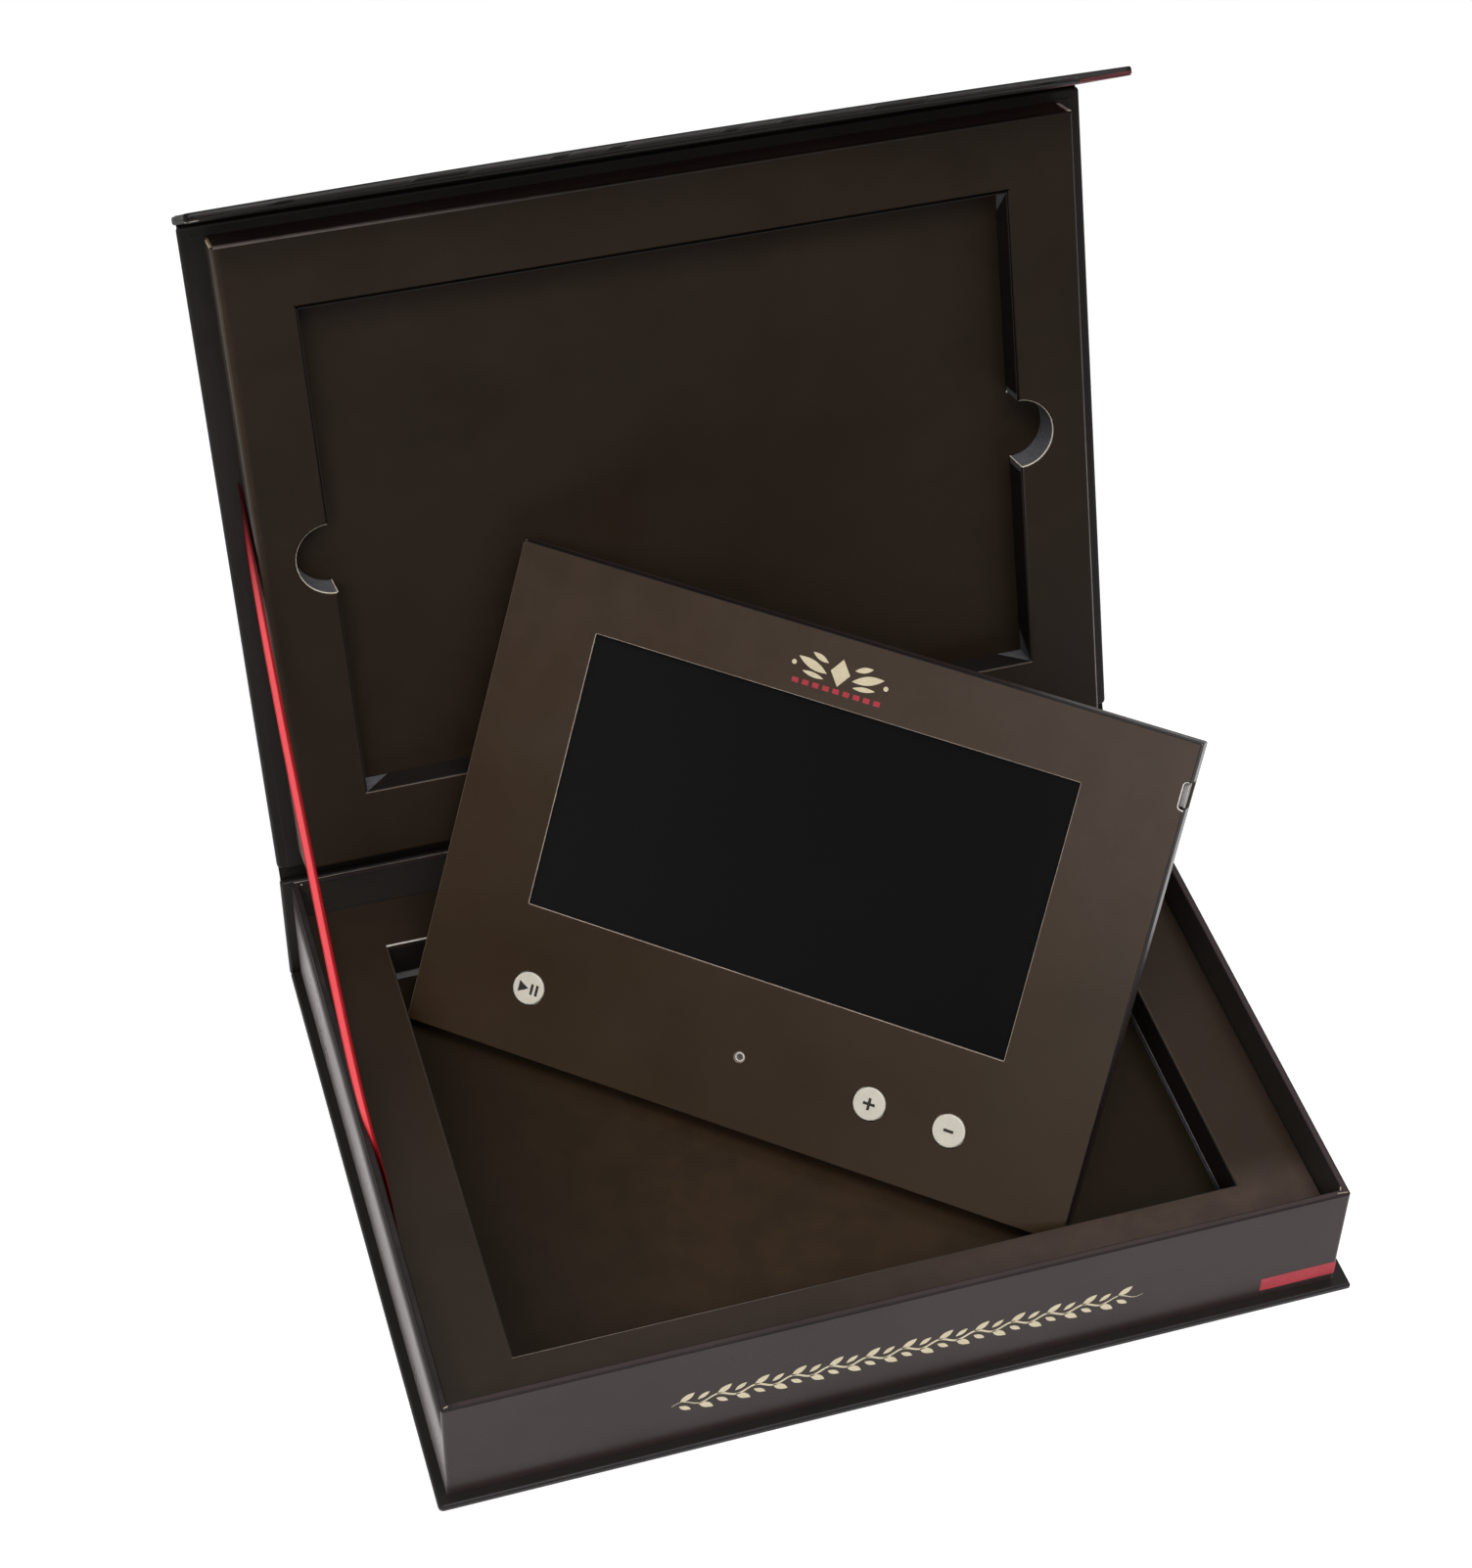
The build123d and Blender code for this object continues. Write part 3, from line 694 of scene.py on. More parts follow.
def flap_lining():
    """The sheet inside the flap, with the magnets showing through it as shallow rounds."""
    s = Shape()
    x0, x1, z0, z1, y = -135.6, 135.6, 5.4, 42.6, -103.6
    xs = [x0 + (x1 - x0) * i / 216 for i in range(217)]
    zs = [z0 + (z1 - z0) * i / 30 for i in range(31)]

    def lift(x, z):
        h = 0.14
        for sx in (-1, 1):
            r = math.hypot(x - sx * 90, z - 18)
            t = min(max((8.2 - r) / 1.4, 0), 1)
            h += 0.16 * t * t * (3 - 2 * t)
        return h
    rows = [[(x, y + lift(x, z), z) for x in xs] for z in zs]
    ids = s.grid(rows, 0, True)
    edge = ids[0] + [r[-1] for r in ids[1:]] + ids[-1][::-1][1:] + [r[0] for r in ids[::-1]][1:-1]
    low = s.ring([(s.v[i][0], y - 0.05, s.v[i][2]) for i in edge])
    s.join(edge, low, 1)
    s.fill([low], 0)
    return s


make("flap_lining", flap_lining(), at_bowed, [CASE, CEDGE], "flap")
# the printed red end of the flap's inner sheet, and a rubbed corner
# its red is the darker flap ink: painted shade
make("flap_print_red", plate(rrect(124.0, FLAP_X - 0.35, 3.2, 44.0, (0.3, 1.8, 0.5, 0.3)), [], [(0.0, -103.42, 0, False), (0.0, -103.62, 0, False)], [], XZ), at_bowed, [INKRD], "flap")
make("flap_rubbed_corner", prism([(-138.9, 6.9), (-138.75, 4.6), (-137.4, 3.3), (-135.6, 3.1), (-134.9, 3.6), (-136.4, 4.4), (-137.5, 5.4), (-138.1, 7.0)], -103.56, -103.66, XZ),
     at_bowed, [CUT], "flap")


# ------------------------------------------------------------------ creases of the wrapping paper
def crease(section, normals, x0, x1, t, n=92, seed=0.0):
    """A strip of paper over a joint. section is the outer line (y, z); t its thickness along normals."""
    s = Shape()
    m = len(section)
    outer, inner = [], []
    for i in range(n + 1):
        x = x0 + (x1 - x0) * i / n
        wob = 0.05 * math.sin(x * 0.21 + seed) + 0.035 * math.sin(x * 0.57 + 1.7 * seed)
        ro, ri = [], []
        for k, ((y, z), (a, b)) in enumerate(zip(section, normals)):
            e = math.sin(math.pi * k / (m - 1)) * wob
            th = t * math.sin(math.pi * min(max(k / (m - 1), 0.04), 0.96)) ** 0.35
            ro.append((x, y + a * e, z + b * e))
            ri.append((x, y + a * (e - th), z + b * (e - th)))
        outer.append(ro)
        inner.append(ri)
    io = [s.ring(r) for r in outer]
    ii = [s.ring(r) for r in inner]
    for a, b in zip(io, io[1:]):
        s.join(a, b, 0, True, False)
    for a, b in zip(ii, ii[1:]):
        s.join(a, b, 3, True, False)
    for a, b in ((io[0], ii[0]), (io[-1], ii[-1])):
        s.join(a, b, 1, False, False)
    for k in (0, -1):
        s.join([r[k] for r in io], [r[k] for r in ii], 0, False, False)
    return s


def smooth_line(pts, n):
    """Points on a Catmull-Rom line through pts, with outward normals to its left."""
    out = []
    P = [pts[0]] + list(pts) + [pts[-1]]
    for k in range(1, len(P) - 2):
        for i in range(n):
            t = i / n
            q = []
            for c in (0, 1):
                a, b, cc, d = (P[k + j][c] for j in (-1, 0, 1, 2))
                q.append(0.5 * (2 * b + (cc - a) * t + (2 * a - 5 * b + 4 * cc - d) * t * t + (3 * b - a - 3 * cc + d) * t ** 3))
            out.append(tuple(q))
    out.append(tuple(pts[-1]))
    nrm = []
    for i in range(len(out)):
        a, b = out[max(i - 1, 0)], out[min(i + 1, len(out) - 1)]
        dy, dz = b[0] - a[0], b[1] - a[1]
        l = math.hypot(dy, dz) or 1
        nrm.append((dz / l, -dy / l))
    return out, nrm


def yz(place, y, z):
    q = place((0, y, z))
    return (q[1], q[2])


HINGE_END = 7.0
back = [(105.83, 34.0), (105.9, 38.0), (106.02, 41.6), (106.12, 43.5)]
back += [yz(at_lid, 104.35, 46.12), yz(at_lid, 102.4, 46.22), yz(at_lid, 98.5, 46.2), yz(at_lid, 94.5, 46.14), yz(at_lid, 90.0, 46.08)]
sec, nrm = smooth_line(back, 4)
spine_crease = make("spine_crease", crease(sec, nrm, -BX + 0.4, BX - 0.4, 0.32), at_base, W3 + [DARK], "base", ride=False)
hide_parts("lid_hinge_paper")

top = [yz(at_lid, -90.0, 46.08), yz(at_lid, -95.0, 46.14), yz(at_lid, -99.5, 46.2), yz(at_lid, -102.6, 46.2), yz(at_lid, -103.6, 46.15)]
top += [yz(at_flap, -106.2, 44.6), yz(at_flap, -106.22, 42.6), yz(at_flap, -106.2, 39.0), yz(at_flap, -106.14, 35.0), yz(at_flap, -106.08, 31.0)]
sec, nrm = smooth_line(top, 4)
flap_crease = make("flap_crease", crease(sec, nrm, -BX + 0.4, BX - 0.4, 0.32, seed=2.2), at_base, W3 + [DARK], "flap", ride=False)
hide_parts("flap_hinge_paper")

# ------------------------------------------------------------------ tray
tray_out = rrect(-TX, TX, -TY, TY, 0.9)
tray_in = grown(rrect(-TX + 2.3, TX - 2.3, -TY + 2.3, TY - 2.3, 0.1, 2))
rim_back = lambda i: 2 if i == 17 else 1
outer_layers = [(i, TOP - d, rim_back if k < 2 else 1, True) for k, (i, d) in enumerate(round_over(0.6))]
outer_layers.pop()
outer_layers += [(0.0, z, (lambda i, m=m: m if i == 23 else (9 if i == 5 else 0)), False)
                 for z, m in ((TOP - 0.6, 5), (39.2, 6), (36.0, 7), (33.0, 8), (30.0, 0))]
outer_layers += [(0.0, 2.5, 0, False)]
inner_layers = [(i, TOP - d, 1, True) for i, d in round_over(0.4)]
inner_layers[-1] = (0.0, TOP - 0.4, 4, False)
inner_layers += [(0.0, 4.5, 4, False)]
s = Shape()
# first faces are the rim
plate(tray_out, [lambda d: tray_in(d)], outer_layers, inner_layers, XY, face_mat=3, back_mat=0, shape=s)
make("tray_walls", s, at_base, [TRAYW, RIME, CUTW, RIMF, TRAYI] + TRAYT + [TRAYF], "base",
     ["tray_wall_front", "tray_wall_back", "tray_wall_left", "tray_wall_right"])

# slits in the turned-over paper at the rim's corners, where the board shows
s = Shape()
for pts in (
    [(-134.2, -102.25), (-132.9, -101.95), (-132.85, -101.45), (-134.0, -101.75)],
    [(-132.4, 101.0), (-131.9, 100.75), (-131.75, 101.35), (-132.3, 101.6)],
    [(131.2, -101.95), (134.3, -102.35), (134.35, -102.0), (131.25, -101.6)],
    [(132.3, -101.0), (132.75, -100.95), (133.2, -99.9), (132.8, -99.75)],
    [(132.4, 101.0), (132.9, 100.8), (133.9, 101.9), (133.5, 102.2)],
):
    prism(pts, TOP - 0.1, TOP + 0.03, XY, 0, s)
make("tray_rim_slits", s, at_base, [LINE], "base")

# cut edge of the spine's lining along the back rim
s = Shape()
wob = lambda x: 0.05 * math.sin(x * 0.13) + 0.03 * math.sin(x * 0.41 + 1)
low = [(-134.0 + 267.6 * k / 60, 102.42 + wob(-134.0 + 267.6 * k / 60)) for k in range(61)]
prism(low + [(x, y + 0.17) for x, y in low[::-1]], TOP - 0.05, TOP + 0.06, XY, 0, s)
make("tray_rim_back_line", s, at_base, [LINE], "base")

# platform with its cut-out
IX, IY = TX - 2.3, TY - 2.3
PX, PY = 110.1, 81.1
plat_out = rrect(-IX + 0.9, IX - 0.3, -IY + 0.3, IY - 0.3, 0.3, 2)


def pocket_outline(d):
    a, b = PX + d, PY + d
    return [(a, -b), (a, b), (-a, b), (-a, -b)]


raw_back = lambda i: 2 if i == 1 else (3 if i == 3 else 1)
raw_back_side = lambda i: 2 if i == 1 else 0
make("platform", plate(plat_out, [pocket_outline], [(0.15, 29.4, 1, True), (0.0, 29.25, 0, False), (0.0, 27.9, 0, False)],
                       [(0.3, 29.4, raw_back, True), (0.08, 29.3, raw_back, True), (0.0, 29.15, raw_back_side, False), (0.0, 28.95, 0, False), (0.0, 27.9, 0, False)], XY),
     at_base, [WRAPP, EDGE, CUTW, LIPF], "base", ["insert_top"])

# paper turned down inside the pocket, its cut edge above the floor
s = Shape()
FL = 16.3
for side in ("left", "right", "front", "back"):
    t = 0.28
    z1 = 29.0 if side != "back" else 27.9
    lo = FL
    if side in ("left", "right"):
        sg = -1 if side == "left" else 1
        a, b = sorted((sg * PX, sg * (PX - t)))
        box = [(a, b, -PY + 0.2, PY - 0.2)]
    else:
        sg = -1 if side == "front" else 1
        a, b = sorted((sg * PY, sg * (PY - t)))
        box = [(-PX + 0.2, PX - 0.2, a, b)]
    for x0, x1, y0, y1 in box:
        out = rrect(x0, x1, y0, y1, 0.03, 1)
        plate(out, [], [(0.0, z1, 0, False), (0.0, lo + 0.4, 1, False), (0.0, lo, 1, False)], [], XY, 0, 1, s)
# its cut band is greyed towards the left-hand corner: painted shade
make("pocket_lining", s, at_base, [WALL, BAND], "base")

# ------------------------------------------------------------------ lid tray
LX, LY = 130.9, 99.8
NR = 10.8


def lid_opening(d, n=20):
    a, b, r = 108.9 + d, 77.8 + d, NR + d
    half = math.degrees(math.acos(max(min(d / r, 1), -1)))
    pts = [(a, -b)]
    pts += [(108.9 + r * math.cos(math.radians(t)), r * math.sin(math.radians(t))) for t in [-half + 2 * half * k / n for k in range(n + 1)]]
    pts += [(a, b), (-a, b)]
    pts += [(-108.9 - r * math.cos(math.radians(t)), -r * math.sin(math.radians(t))) for t in [-half + 2 * half * k / n for k in range(n + 1)]]
    pts += [(-a, -b)]
    return pts


# the lid is drawn closed, so its face looks down: first face is z 30.5
ARCS = set(range(1, 21)) | set(range(24, 44))
CUTS = ARCS | {22}
# the lip along the pocket's top edge (segment 45) is painted near-black: a painted contact shadow
lip_top = lambda i: 9 if i == 45 else 0
lip_mid = lambda i: 10 if i == 22 else (2 if i in CUTS else (9 if i == 45 else 4))
lip_low = lambda i: 3 if i in CUTS else (9 if i == 45 else 4)
lid_out = rrect(-LX, LX, -LY, LY, 0.9)
fold = lambda i: 5 if i == 11 else (1 if i == 23 else (6 if i == 5 else 0))
fold2 = lambda i: 7 if i == 11 else (1 if i == 23 else (6 if i == 5 else 0))
outer_layers = [(i, 30.5 + d, fold if k == 1 else fold2, True) for k, (i, d) in enumerate(round_over(0.8))]
outer_layers[-1] = (0.0, 31.3, 0, False)
outer_layers += [(0.0, 32.0, 0, False)]
hole_layers = [(1.0, 30.5, lip_top, True), (0.36, 30.64, lip_mid, True), (0.12, 30.96, lip_low, True), (0.0, 31.4, 3, False), (0.0, 32.0, 3, False)]
make("lid_tray_face", plate(lid_out, [lid_opening], outer_layers, hole_layers, XY, 0, 0), at_lid,
     [LIDW, EDGE, CUT, RAWD, DARK, SIDEE, TOPE, CEDGE, LINE, SHADOW_LINE, EDGL], "lid", ["lid_face"])

# raw ring round the pocket
make("lid_tray_core", plate(rrect(-LX + 2.3, LX - 2.3, -LY + 2.3, LY - 2.3, 0.1, 2), [lid_opening],
                            [(0.0, 32.0, 0, False), (0.0, 41.3, 0, False)], [(0.0, 32.0, 0, False), (0.0, 36.5, 0, False), (0.0, 41.3, 0, False)], XY),
     at_lid, [RAWD], "lid", ["lid_core"])


# paper turned in from the face, mitred at the corners so that the board shows there
def turned_in():
    s = Shape()
    t, z0, z1, cut = 0.26, 30.9, 41.25, 8.7
    X, Y = 108.9, 77.8

    def panel(p0, p1, q1, q0, n):
        """p0-p1 along the face, q0-q1 at the bottom, n the inward normal."""
        a = [Vector(p) for p in (p0, p1, q1, q0)]
        b = [v + Vector(n) * t for v in a]
        ia, ib = s.ring(a), s.ring(b)
        s.join(ia, ib, 0)
        s.fill([ia], 0)
        s.fill([ib], 0)
    panel((-X + 0.3, Y, z0), (X - 0.3, Y, z0), (X - cut, Y, z1), (-X + cut, Y, z1), (0, -1, 0))
    panel((-X + 0.3, -Y, z0), (X - 0.3, -Y, z0), (X - cut, -Y, z1), (-X + cut, -Y, z1), (0, 1, 0))
    for sg in (-1, 1):
        for up in (-1, 1):
            e = up * (NR + 2.2)
            panel((sg * X, e, z0), (sg * X, up * (Y - 0.3), z0), (sg * X, up * (Y - cut), z1), (sg * X, e, z1), (-sg, 0, 0))
    return s


make("lid_pocket_lining", turned_in(), at_lid, [WALL, CUT], "lid")

tick = lambda i: 1 if i in (0, 1, 2, 3, 4, 6, 7, 8, 9, 10) else (2 if i == 23 else (3 if i == 5 else 0))
left = lambda i: 2 if i == 23 else (3 if i == 5 else 0)
make("lid_tray_sides", plate(lid_out, [grown(rrect(-LX + 2.3, LX - 2.3, -LY + 2.3, LY - 2.3, 0.1, 2))],
                             [(0.0, 32.0, tick, False), (0.0, 40.0, left, False), (0.0, 43.6, 0, False)],
                             [(0.0, 32.0, 0, False), (0.0, 43.6, 0, False)], XY), at_lid, [LIDS, TAN, LIDL, LIDT], "lid",
     ["lid_wall_front", "lid_wall_back", "lid_wall_left", "lid_wall_right"])

# the paper has parted along the two upper corners and shows the board
s = Shape()
for sg in (-1, 1):
    w = 0.55 if sg < 0 else 1.25
    a, b = sorted((sg * 130.75, sg * (130.75 - w)))
    pts = [(a, 31.0), (b, 30.9), (b - 0.1, 35.2), (b + 0.03, 38.0), (b - 0.12, 40.4), (a + 0.15, 40.9), (a - 0.04, 36.4), (a + 0.05, 33.2)]
    prism(pts, -99.7, -99.87, XZ, 0 if sg < 0 else 1, s)
make("lid_corner_splits", s, at_lid, [TAN, CUTW], "lid")

# cut paper standing up along the lower corner of each thumb notch
s = Shape()
for sg in (-1, 1):
    c = sg * 108.9
    k = 10.8 if sg > 0 else 10.8
    prism([(c - 0.16, k - 0.1), (c + 0.12, k - 0.16), (c + 0.16, k + 0.14), (c - 0.14, k + 0.22)], 30.9, 41.25, XY, 0, s)
    prism([(c - 0.2, -k - 0.4), (c + 0.2, -k - 0.4), (c + 0.2, -k + 0.25), (c - 0.2, -k + 0.2)], 40.7, 41.25, XY, 0, s)
make("notch_corner_paper", s, at_lid, [CUT], "lid")

# ------------------------------------------------------------------ stay ribbon
RA, RB = (144.25, 158.6), (-18.5, 33.0)
_a = math.radians(OPEN)
N_IN = (-math.sin(_a), -math.cos(_a))
dl = math.hypot(RB[0] - RA[0], RB[1] - RA[1])
DY, DZ = (RB[0] - RA[0]) / dl, (RB[1] - RA[1]) / dl


def on_line(q, t):
    return (RA[0] + DY * t - DZ * q, RA[1] + DZ * t + DY * q)


def t_cover(q, gap):
    d0 = (on_line(q, 0)[0] - HINGE_Y) * N_IN[0] + (on_line(q, 0)[1] - HINGE_Z) * N_IN[1]
    return (HINGE_Z - 43.6 + gap - d0) / (DY * N_IN[0] + DZ * N_IN[1])


def t_level(q, z):
    return (z - on_line(q, 0)[1]) / DZ


# from the cover (0) down to the tray (1): sideways sway in mm, and twist as a slope
SWAY = [(0, 0.15), (0.05, -0.1), (0.12, -0.45), (0.22, -0.92), (0.34, -1.3), (0.46, -1.48), (0.6, -1.72), (0.72, -1.7), (0.8, -1.42), (0.86, -0.78), (0.91, 0.12), (0.95, 0.42), (0.975, 0.42), (1, 0.3)]
TWIST = [(0, 0.05), (0.06, 0.13), (0.14, 0.165), (0.3, 0.175), (0.5, 0.18), (0.78, 0.185), (0.85, 0.175), (0.91, 0.155), (0.95, 0.12), (1, 0.03)]


def along(table, t):
    """Smooth reading of a table of (place, value)."""
    P = [table[0]] + table + [table[-1]]
    for k in range(1, len(P) - 2):
        (xa, a), (x0, b), (x1, c), (xb, d) = P[k - 1:k + 3]
        if t <= x1:
            h, u = x1 - x0, (t - x0) / (x1 - x0)
            m0 = (c - a) / (x1 - xa) * h
            m1 = (d - b) / (xb - x0) * h
            return (2 * u ** 3 - 3 * u ** 2 + 1) * b + (u ** 3 - 2 * u ** 2 + u) * m0 + (3 * u ** 2 - 2 * u ** 3) * c + (u ** 3 - u ** 2) * m1
    return table[-1][1]


def ribbon():
    """Woven strip under tension: a little hollow across, with a thin cord in each selvedge."""
    s = Shape()
    across = [-5.0, -4.7, -4.0, -2.9, -2.2, -1.5, -0.8, 0.0, 0.8, 1.6, 2.4, 3.2, 4.2, 4.7, 5.0]
    thick = [0.06, 0.13, 0.15, 0.1, 0.09, 0.09, 0.09, 0.09, 0.09, 0.09, 0.09, 0.1, 0.15, 0.13, 0.06]
    n = 150
    front, rear = [], []
    for i in range(n + 1):
        ro, ri = [], []
        for q, th in zip(across, thick):
            t = t_cover(q, 0.3) + (t_level(q, 26.5) - t_cover(q, 0.3)) * i / n
            y, z = on_line(q, t)
            ends = math.sin(math.pi * i / n)
            cup = 0.16 * (1 - (q / 5) ** 2) * ends + 0.05 * math.sin(i * 0.31 + q * 0.4) * ends
            lean = along(SWAY, i / n)
            x = -132.28 + lean - q * along(TWIST, i / n) - cup * 0.35
            ro.append((x - th, y, z))
            ri.append((x + th, y, z))
        front.append(ro)
        rear.append(ri)
    # the shoulder and selvedge bands take the darker ribbon materials: painted shade
    m = lambda k: 1 if k in (0, 1, 2, 12, 13) else (2 if k in (3, 11) else 0)
    fo = [s.ring(r) for r in front]
    re_ = [s.ring(r) for r in rear]
    for rows in (fo, re_):
        for a, b in zip(rows, rows[1:]):
            s.join(a, b, m, True, False)
    for k in (0, -1):
        s.join([r[k] for r in fo], [r[k] for r in re_], 1, False, False)
    s.join(fo[0], re_[0], 0, False, False)
    s.join(fo[-1], re_[-1], 0, False, False)
    return s


stay = make("stay_ribbon", ribbon(), at_base, [RIB, RIBE, RIBM], "base", ride=False)
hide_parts("ribbon")
RIB_LEN = t_level(0, 26.5) - t_cover(0, 0.3)

# ------------------------------------------------------------------ printed devices and bars
FRONT = -TY


def lozenge(cx, cz, w, h):
    return [(cx - w / 2, cz), (cx, cz - h / 2), (cx + w / 2, cz), (cx, cz + h / 2)]


def leaf(x0, z0, x1, z1, w, n=8):
    """A pointed leaf between two points."""
    dx, dz = x1 - x0, z1 - z0
    l = math.hypot(dx, dz)
    nx, nz = -dz / l, dx / l
    up = [(x0 + dx * t + nx * w / 2 * math.sin(math.pi * t) ** 0.9, z0 + dz * t + nz * w / 2 * math.sin(math.pi * t) ** 0.9) for t in [k / n for k in range(n + 1)]]
    dn = [(x0 + dx * t - nx * w / 2 * math.sin(math.pi * t) ** 0.9, z0 + dz * t - nz * w / 2 * math.sin(math.pi * t) ** 0.9) for t in [k / n for k in range(n - 1, 0, -1)]]
    return up + dn


def disc(cx, cz, r, n=20):
    return [(cx + r * math.cos(2 * math.pi * k / n), cz + r * math.sin(2 * math.pi * k / n)) for k in range(n)]


# a plain running border of leaves along the front wall
def wave_strip(x0, x1, zc, amp, period, w, phase=0.0, n=220):
    up, dn = [], []
    for k in range(n + 1):
        x = x0 + (x1 - x0) * k / n
        a = 2 * math.pi * (x - x0) / period + phase
        slope = amp * 2 * math.pi / period * math.cos(a)
        l = math.hypot(1, slope)
        end = min(1.0, 8 * min(k, n - k) / n + 0.15)
        z = zc + amp * math.sin(a)
        up.append((x - slope / l * w / 2 * end, z + w / 2 / l * end))
        dn.append((x + slope / l * w / 2 * end, z - w / 2 / l * end))
    return up, dn


s = Shape()
y0, y1 = FRONT + 0.01, FRONT - 0.03
zc, per = 19.4, 11.0
up, dn = wave_strip(-69.8, 72.6, zc, 1.15, per, 0.75)
ua, da = s.ring([(x, y1, z) for x, z in up]), s.ring([(x, y1, z) for x, z in dn])
ub, db = s.ring([(x, y0, z) for x, z in up]), s.ring([(x, y0, z) for x, z in dn])
for p_, q_ in ((ua, da), (ub, db), (ua, ub), (da, db)):
    s.join(p_, q_, 0, False, False)
for k in (0, -1):
    s.face((ua[k], da[k], db[k], ub[k]), 0)
for k in range(26):
    x = -69.8 + per / 4 + per / 2 * k
    sg = 1 if k % 2 == 0 else -1
    z = zc + sg * 1.15
    if x + 4.2 > 72.8:
        break
    prism(leaf(x - 0.4, z - sg * 0.2, x + 4.0, z + sg * 3.2, 2.3), y0, y1, XZ, 0, s)
    prism(leaf(x - 0.6, z - sg * 1.9, x + 2.9, z - sg * 4.4, 1.7), y0, y1, XZ, 0, s)
make("front_border_print", s, at_base, [INKC], "base")

bar = rrect(111.0, TX - 0.15, 5.7, 11.3, 0.35)
make("front_bar_print", plate(bar, [], [(0.0, FRONT - 0.03, 0, False), (0.0, FRONT + 0.02, 0, False)], [], XZ), at_base, [INKR], "base")

# ------------------------------------------------------------------ player case
def front_outline(d):
    W, H, r = PL_W - d, PL_H - d, max(0.6 - d, 0.05)
    pts = []

    def arc(cx, cz, q, a0, a1, n=5):
        for k in range(n + 1):
            a = math.radians(a0 + (a1 - a0) * k / n)
            pts.append((cx + q * math.cos(a), cz + q * math.sin(a)))
    arc(d + r, d + r, r, 180, 270)
    arc(W - r, d + r, r, 270, 360)
    arc(W - 0.25, 134 - d - 0.25, 0.25, 0, 90, 3)
    arc(213.8 + 1.1, 134 + 1.1, 1.1 + d, -90, -180)
    arc(213.8 + 1.1, 142.1 - 1.1, 1.1 + d, 180, 90)
    arc(W - 0.25, 142.1 + d + 0.25, 0.25, 270, 360, 3)
    arc(W - r, H - r, r, 0, 90)
    arc(d + r, H - r, r, 90, 180)
    return pts


# outline segments: left side is the last one, notch is 16..31
NOTCH = set(range(12, 28))
LEFT = {43}
edge_mat = lambda i: 5 if i in NOTCH else (6 if i in LEFT else 1)
side_mat2 = lambda i: 5 if i in NOTCH else 4
OUT = [(0.26, 0.0, edge_mat, True), (0.12, 0.05, edge_mat, True), (0.0, 0.22, side_mat2, False), (0.0, 0.6, 4, False), (0.0, 1.5, 0, False)]
win = grown(rrect(29.7, 184.7, 47.0, 133.0, 0.3, 3))
WIN = [(0.22, 0.0, 2, True), (0.08, 0.06, 2, True), (0.0, 0.2, 1, False), (0.0, 1.5, 0, False)]
HOL = [(0.1, 0.0, 1, True), (0.0, 0.12, 1, False), (0.0, 1.5, 0, False)]
holes = [win] + [grown(circle(x, BTN_Z, 5.32, 64)) for x in BTN.values()] + [grown(circle(LED_X, LED_Z, 1.7, 32))]
make("player_face", plate(front_outline, holes, OUT, [WIN, HOL, HOL, HOL, [(0.12, 0.0, 2, True), (0.0, 0.12, 3, False), (0.0, 1.5, 3, False)]], XZ), at_player,
     [PRINT, CEDGE, LINE, HOLE, SIDE, CUTW, EDGL], "player", ["player_front"])

# the frame of board strips, its sides wrapped: a matt band at the front, glossier paper behind it; its end faces are
# raw board
s = Shape()
f = 4.0
W, H = PL_W, PL_H
cshape = [(W, 134.0), (W - f, 134.0), (W - f, f), (f, f), (f, H - f), (W - f, H - f), (W - f, 142.1), (W, 142.1), (W, H), (0, H), (0, 0), (W, 0)]
layers = [(1.5, 1), (4.8, 2), (4.9, 2), (4.96, 2), (6.6, 2), (6.66, 2), (8.5, 2)]
prev = None
rings = []
for k, (y, m) in enumerate(layers):
    d = 0.05 if k in (3, 5) else 0.0
    pts = [(min(max(u, d), W - d) if (u <= d or u >= W - d) else u, min(max(v, d), H - d)) for u, v in cshape]
    ids = s.ring([(u, y, v) for u, v in pts])
    rings.append(ids)
    if prev is not None:
        s.join(prev, ids, (lambda i: 3 if i == 8 else 2) if pm == 2 else pm)
    prev, pm = ids, m
s.fill([rings[0]], 0)
s.fill([rings[-1]], 0)
make("player_frame_strips", s, at_player, [CARD, SIDE, SIDEG, SIDET], "player", ["player_frame"])

make("player_rear", plate(rrect(0, PL_W, 0, PL_H, 0.6), [], [(0.3, 10.0, 1, True), (0.1, 9.95, 1, True), (0.0, 9.7, lambda i: 2 if i == 17 else 1, False), (0.0, 8.5, 1, False)], [], XZ),
     at_player, [PRINT, SIDEG, SIDET], "player", ["player_back"])

lcd0 = 29.7 + 77.5 - 82.45
make("screen_panel", plate(rrect(lcd0, lcd0 + 164.9, 38.5, 137.5, 0.8), [], [(0.2, 1.55, 1, True), (0.0, 1.75, 1, False), (0.0, 4.05, 1, False)], [], XZ),
     at_player, [SCREEN, BLACKP], "player", ["lcd_panel"])

# buttons: a proud cap with a rounded rim on its flange
for name, bx in BTN.items():
    prof = [(0, -0.35), (3.2, -0.35), (4.57, -0.345), (4.76, -0.33), (4.92, -0.27), (5.02, -0.16), (5.06, 0.0), (5.06, 1.56), (6.5, 1.56), (6.5, 1.95), (0, 1.95)]
    sm = [False, False, True, True, True, True, False, False, False, False]
    make("cap_" + name, revolve(prof, bx, BTN_Z, 64, smooth=sm), at_player, [CAP], name + "_button", ["button_" + name])

Y_INK = (-0.34, -0.375)


def symbol(name, polys, body):
    s = Shape()
    for pts in polys:
        prism(pts, Y_INK[0], Y_INK[1], XZ, 0, s)
    make(name, s, at_player, [INKD], body)


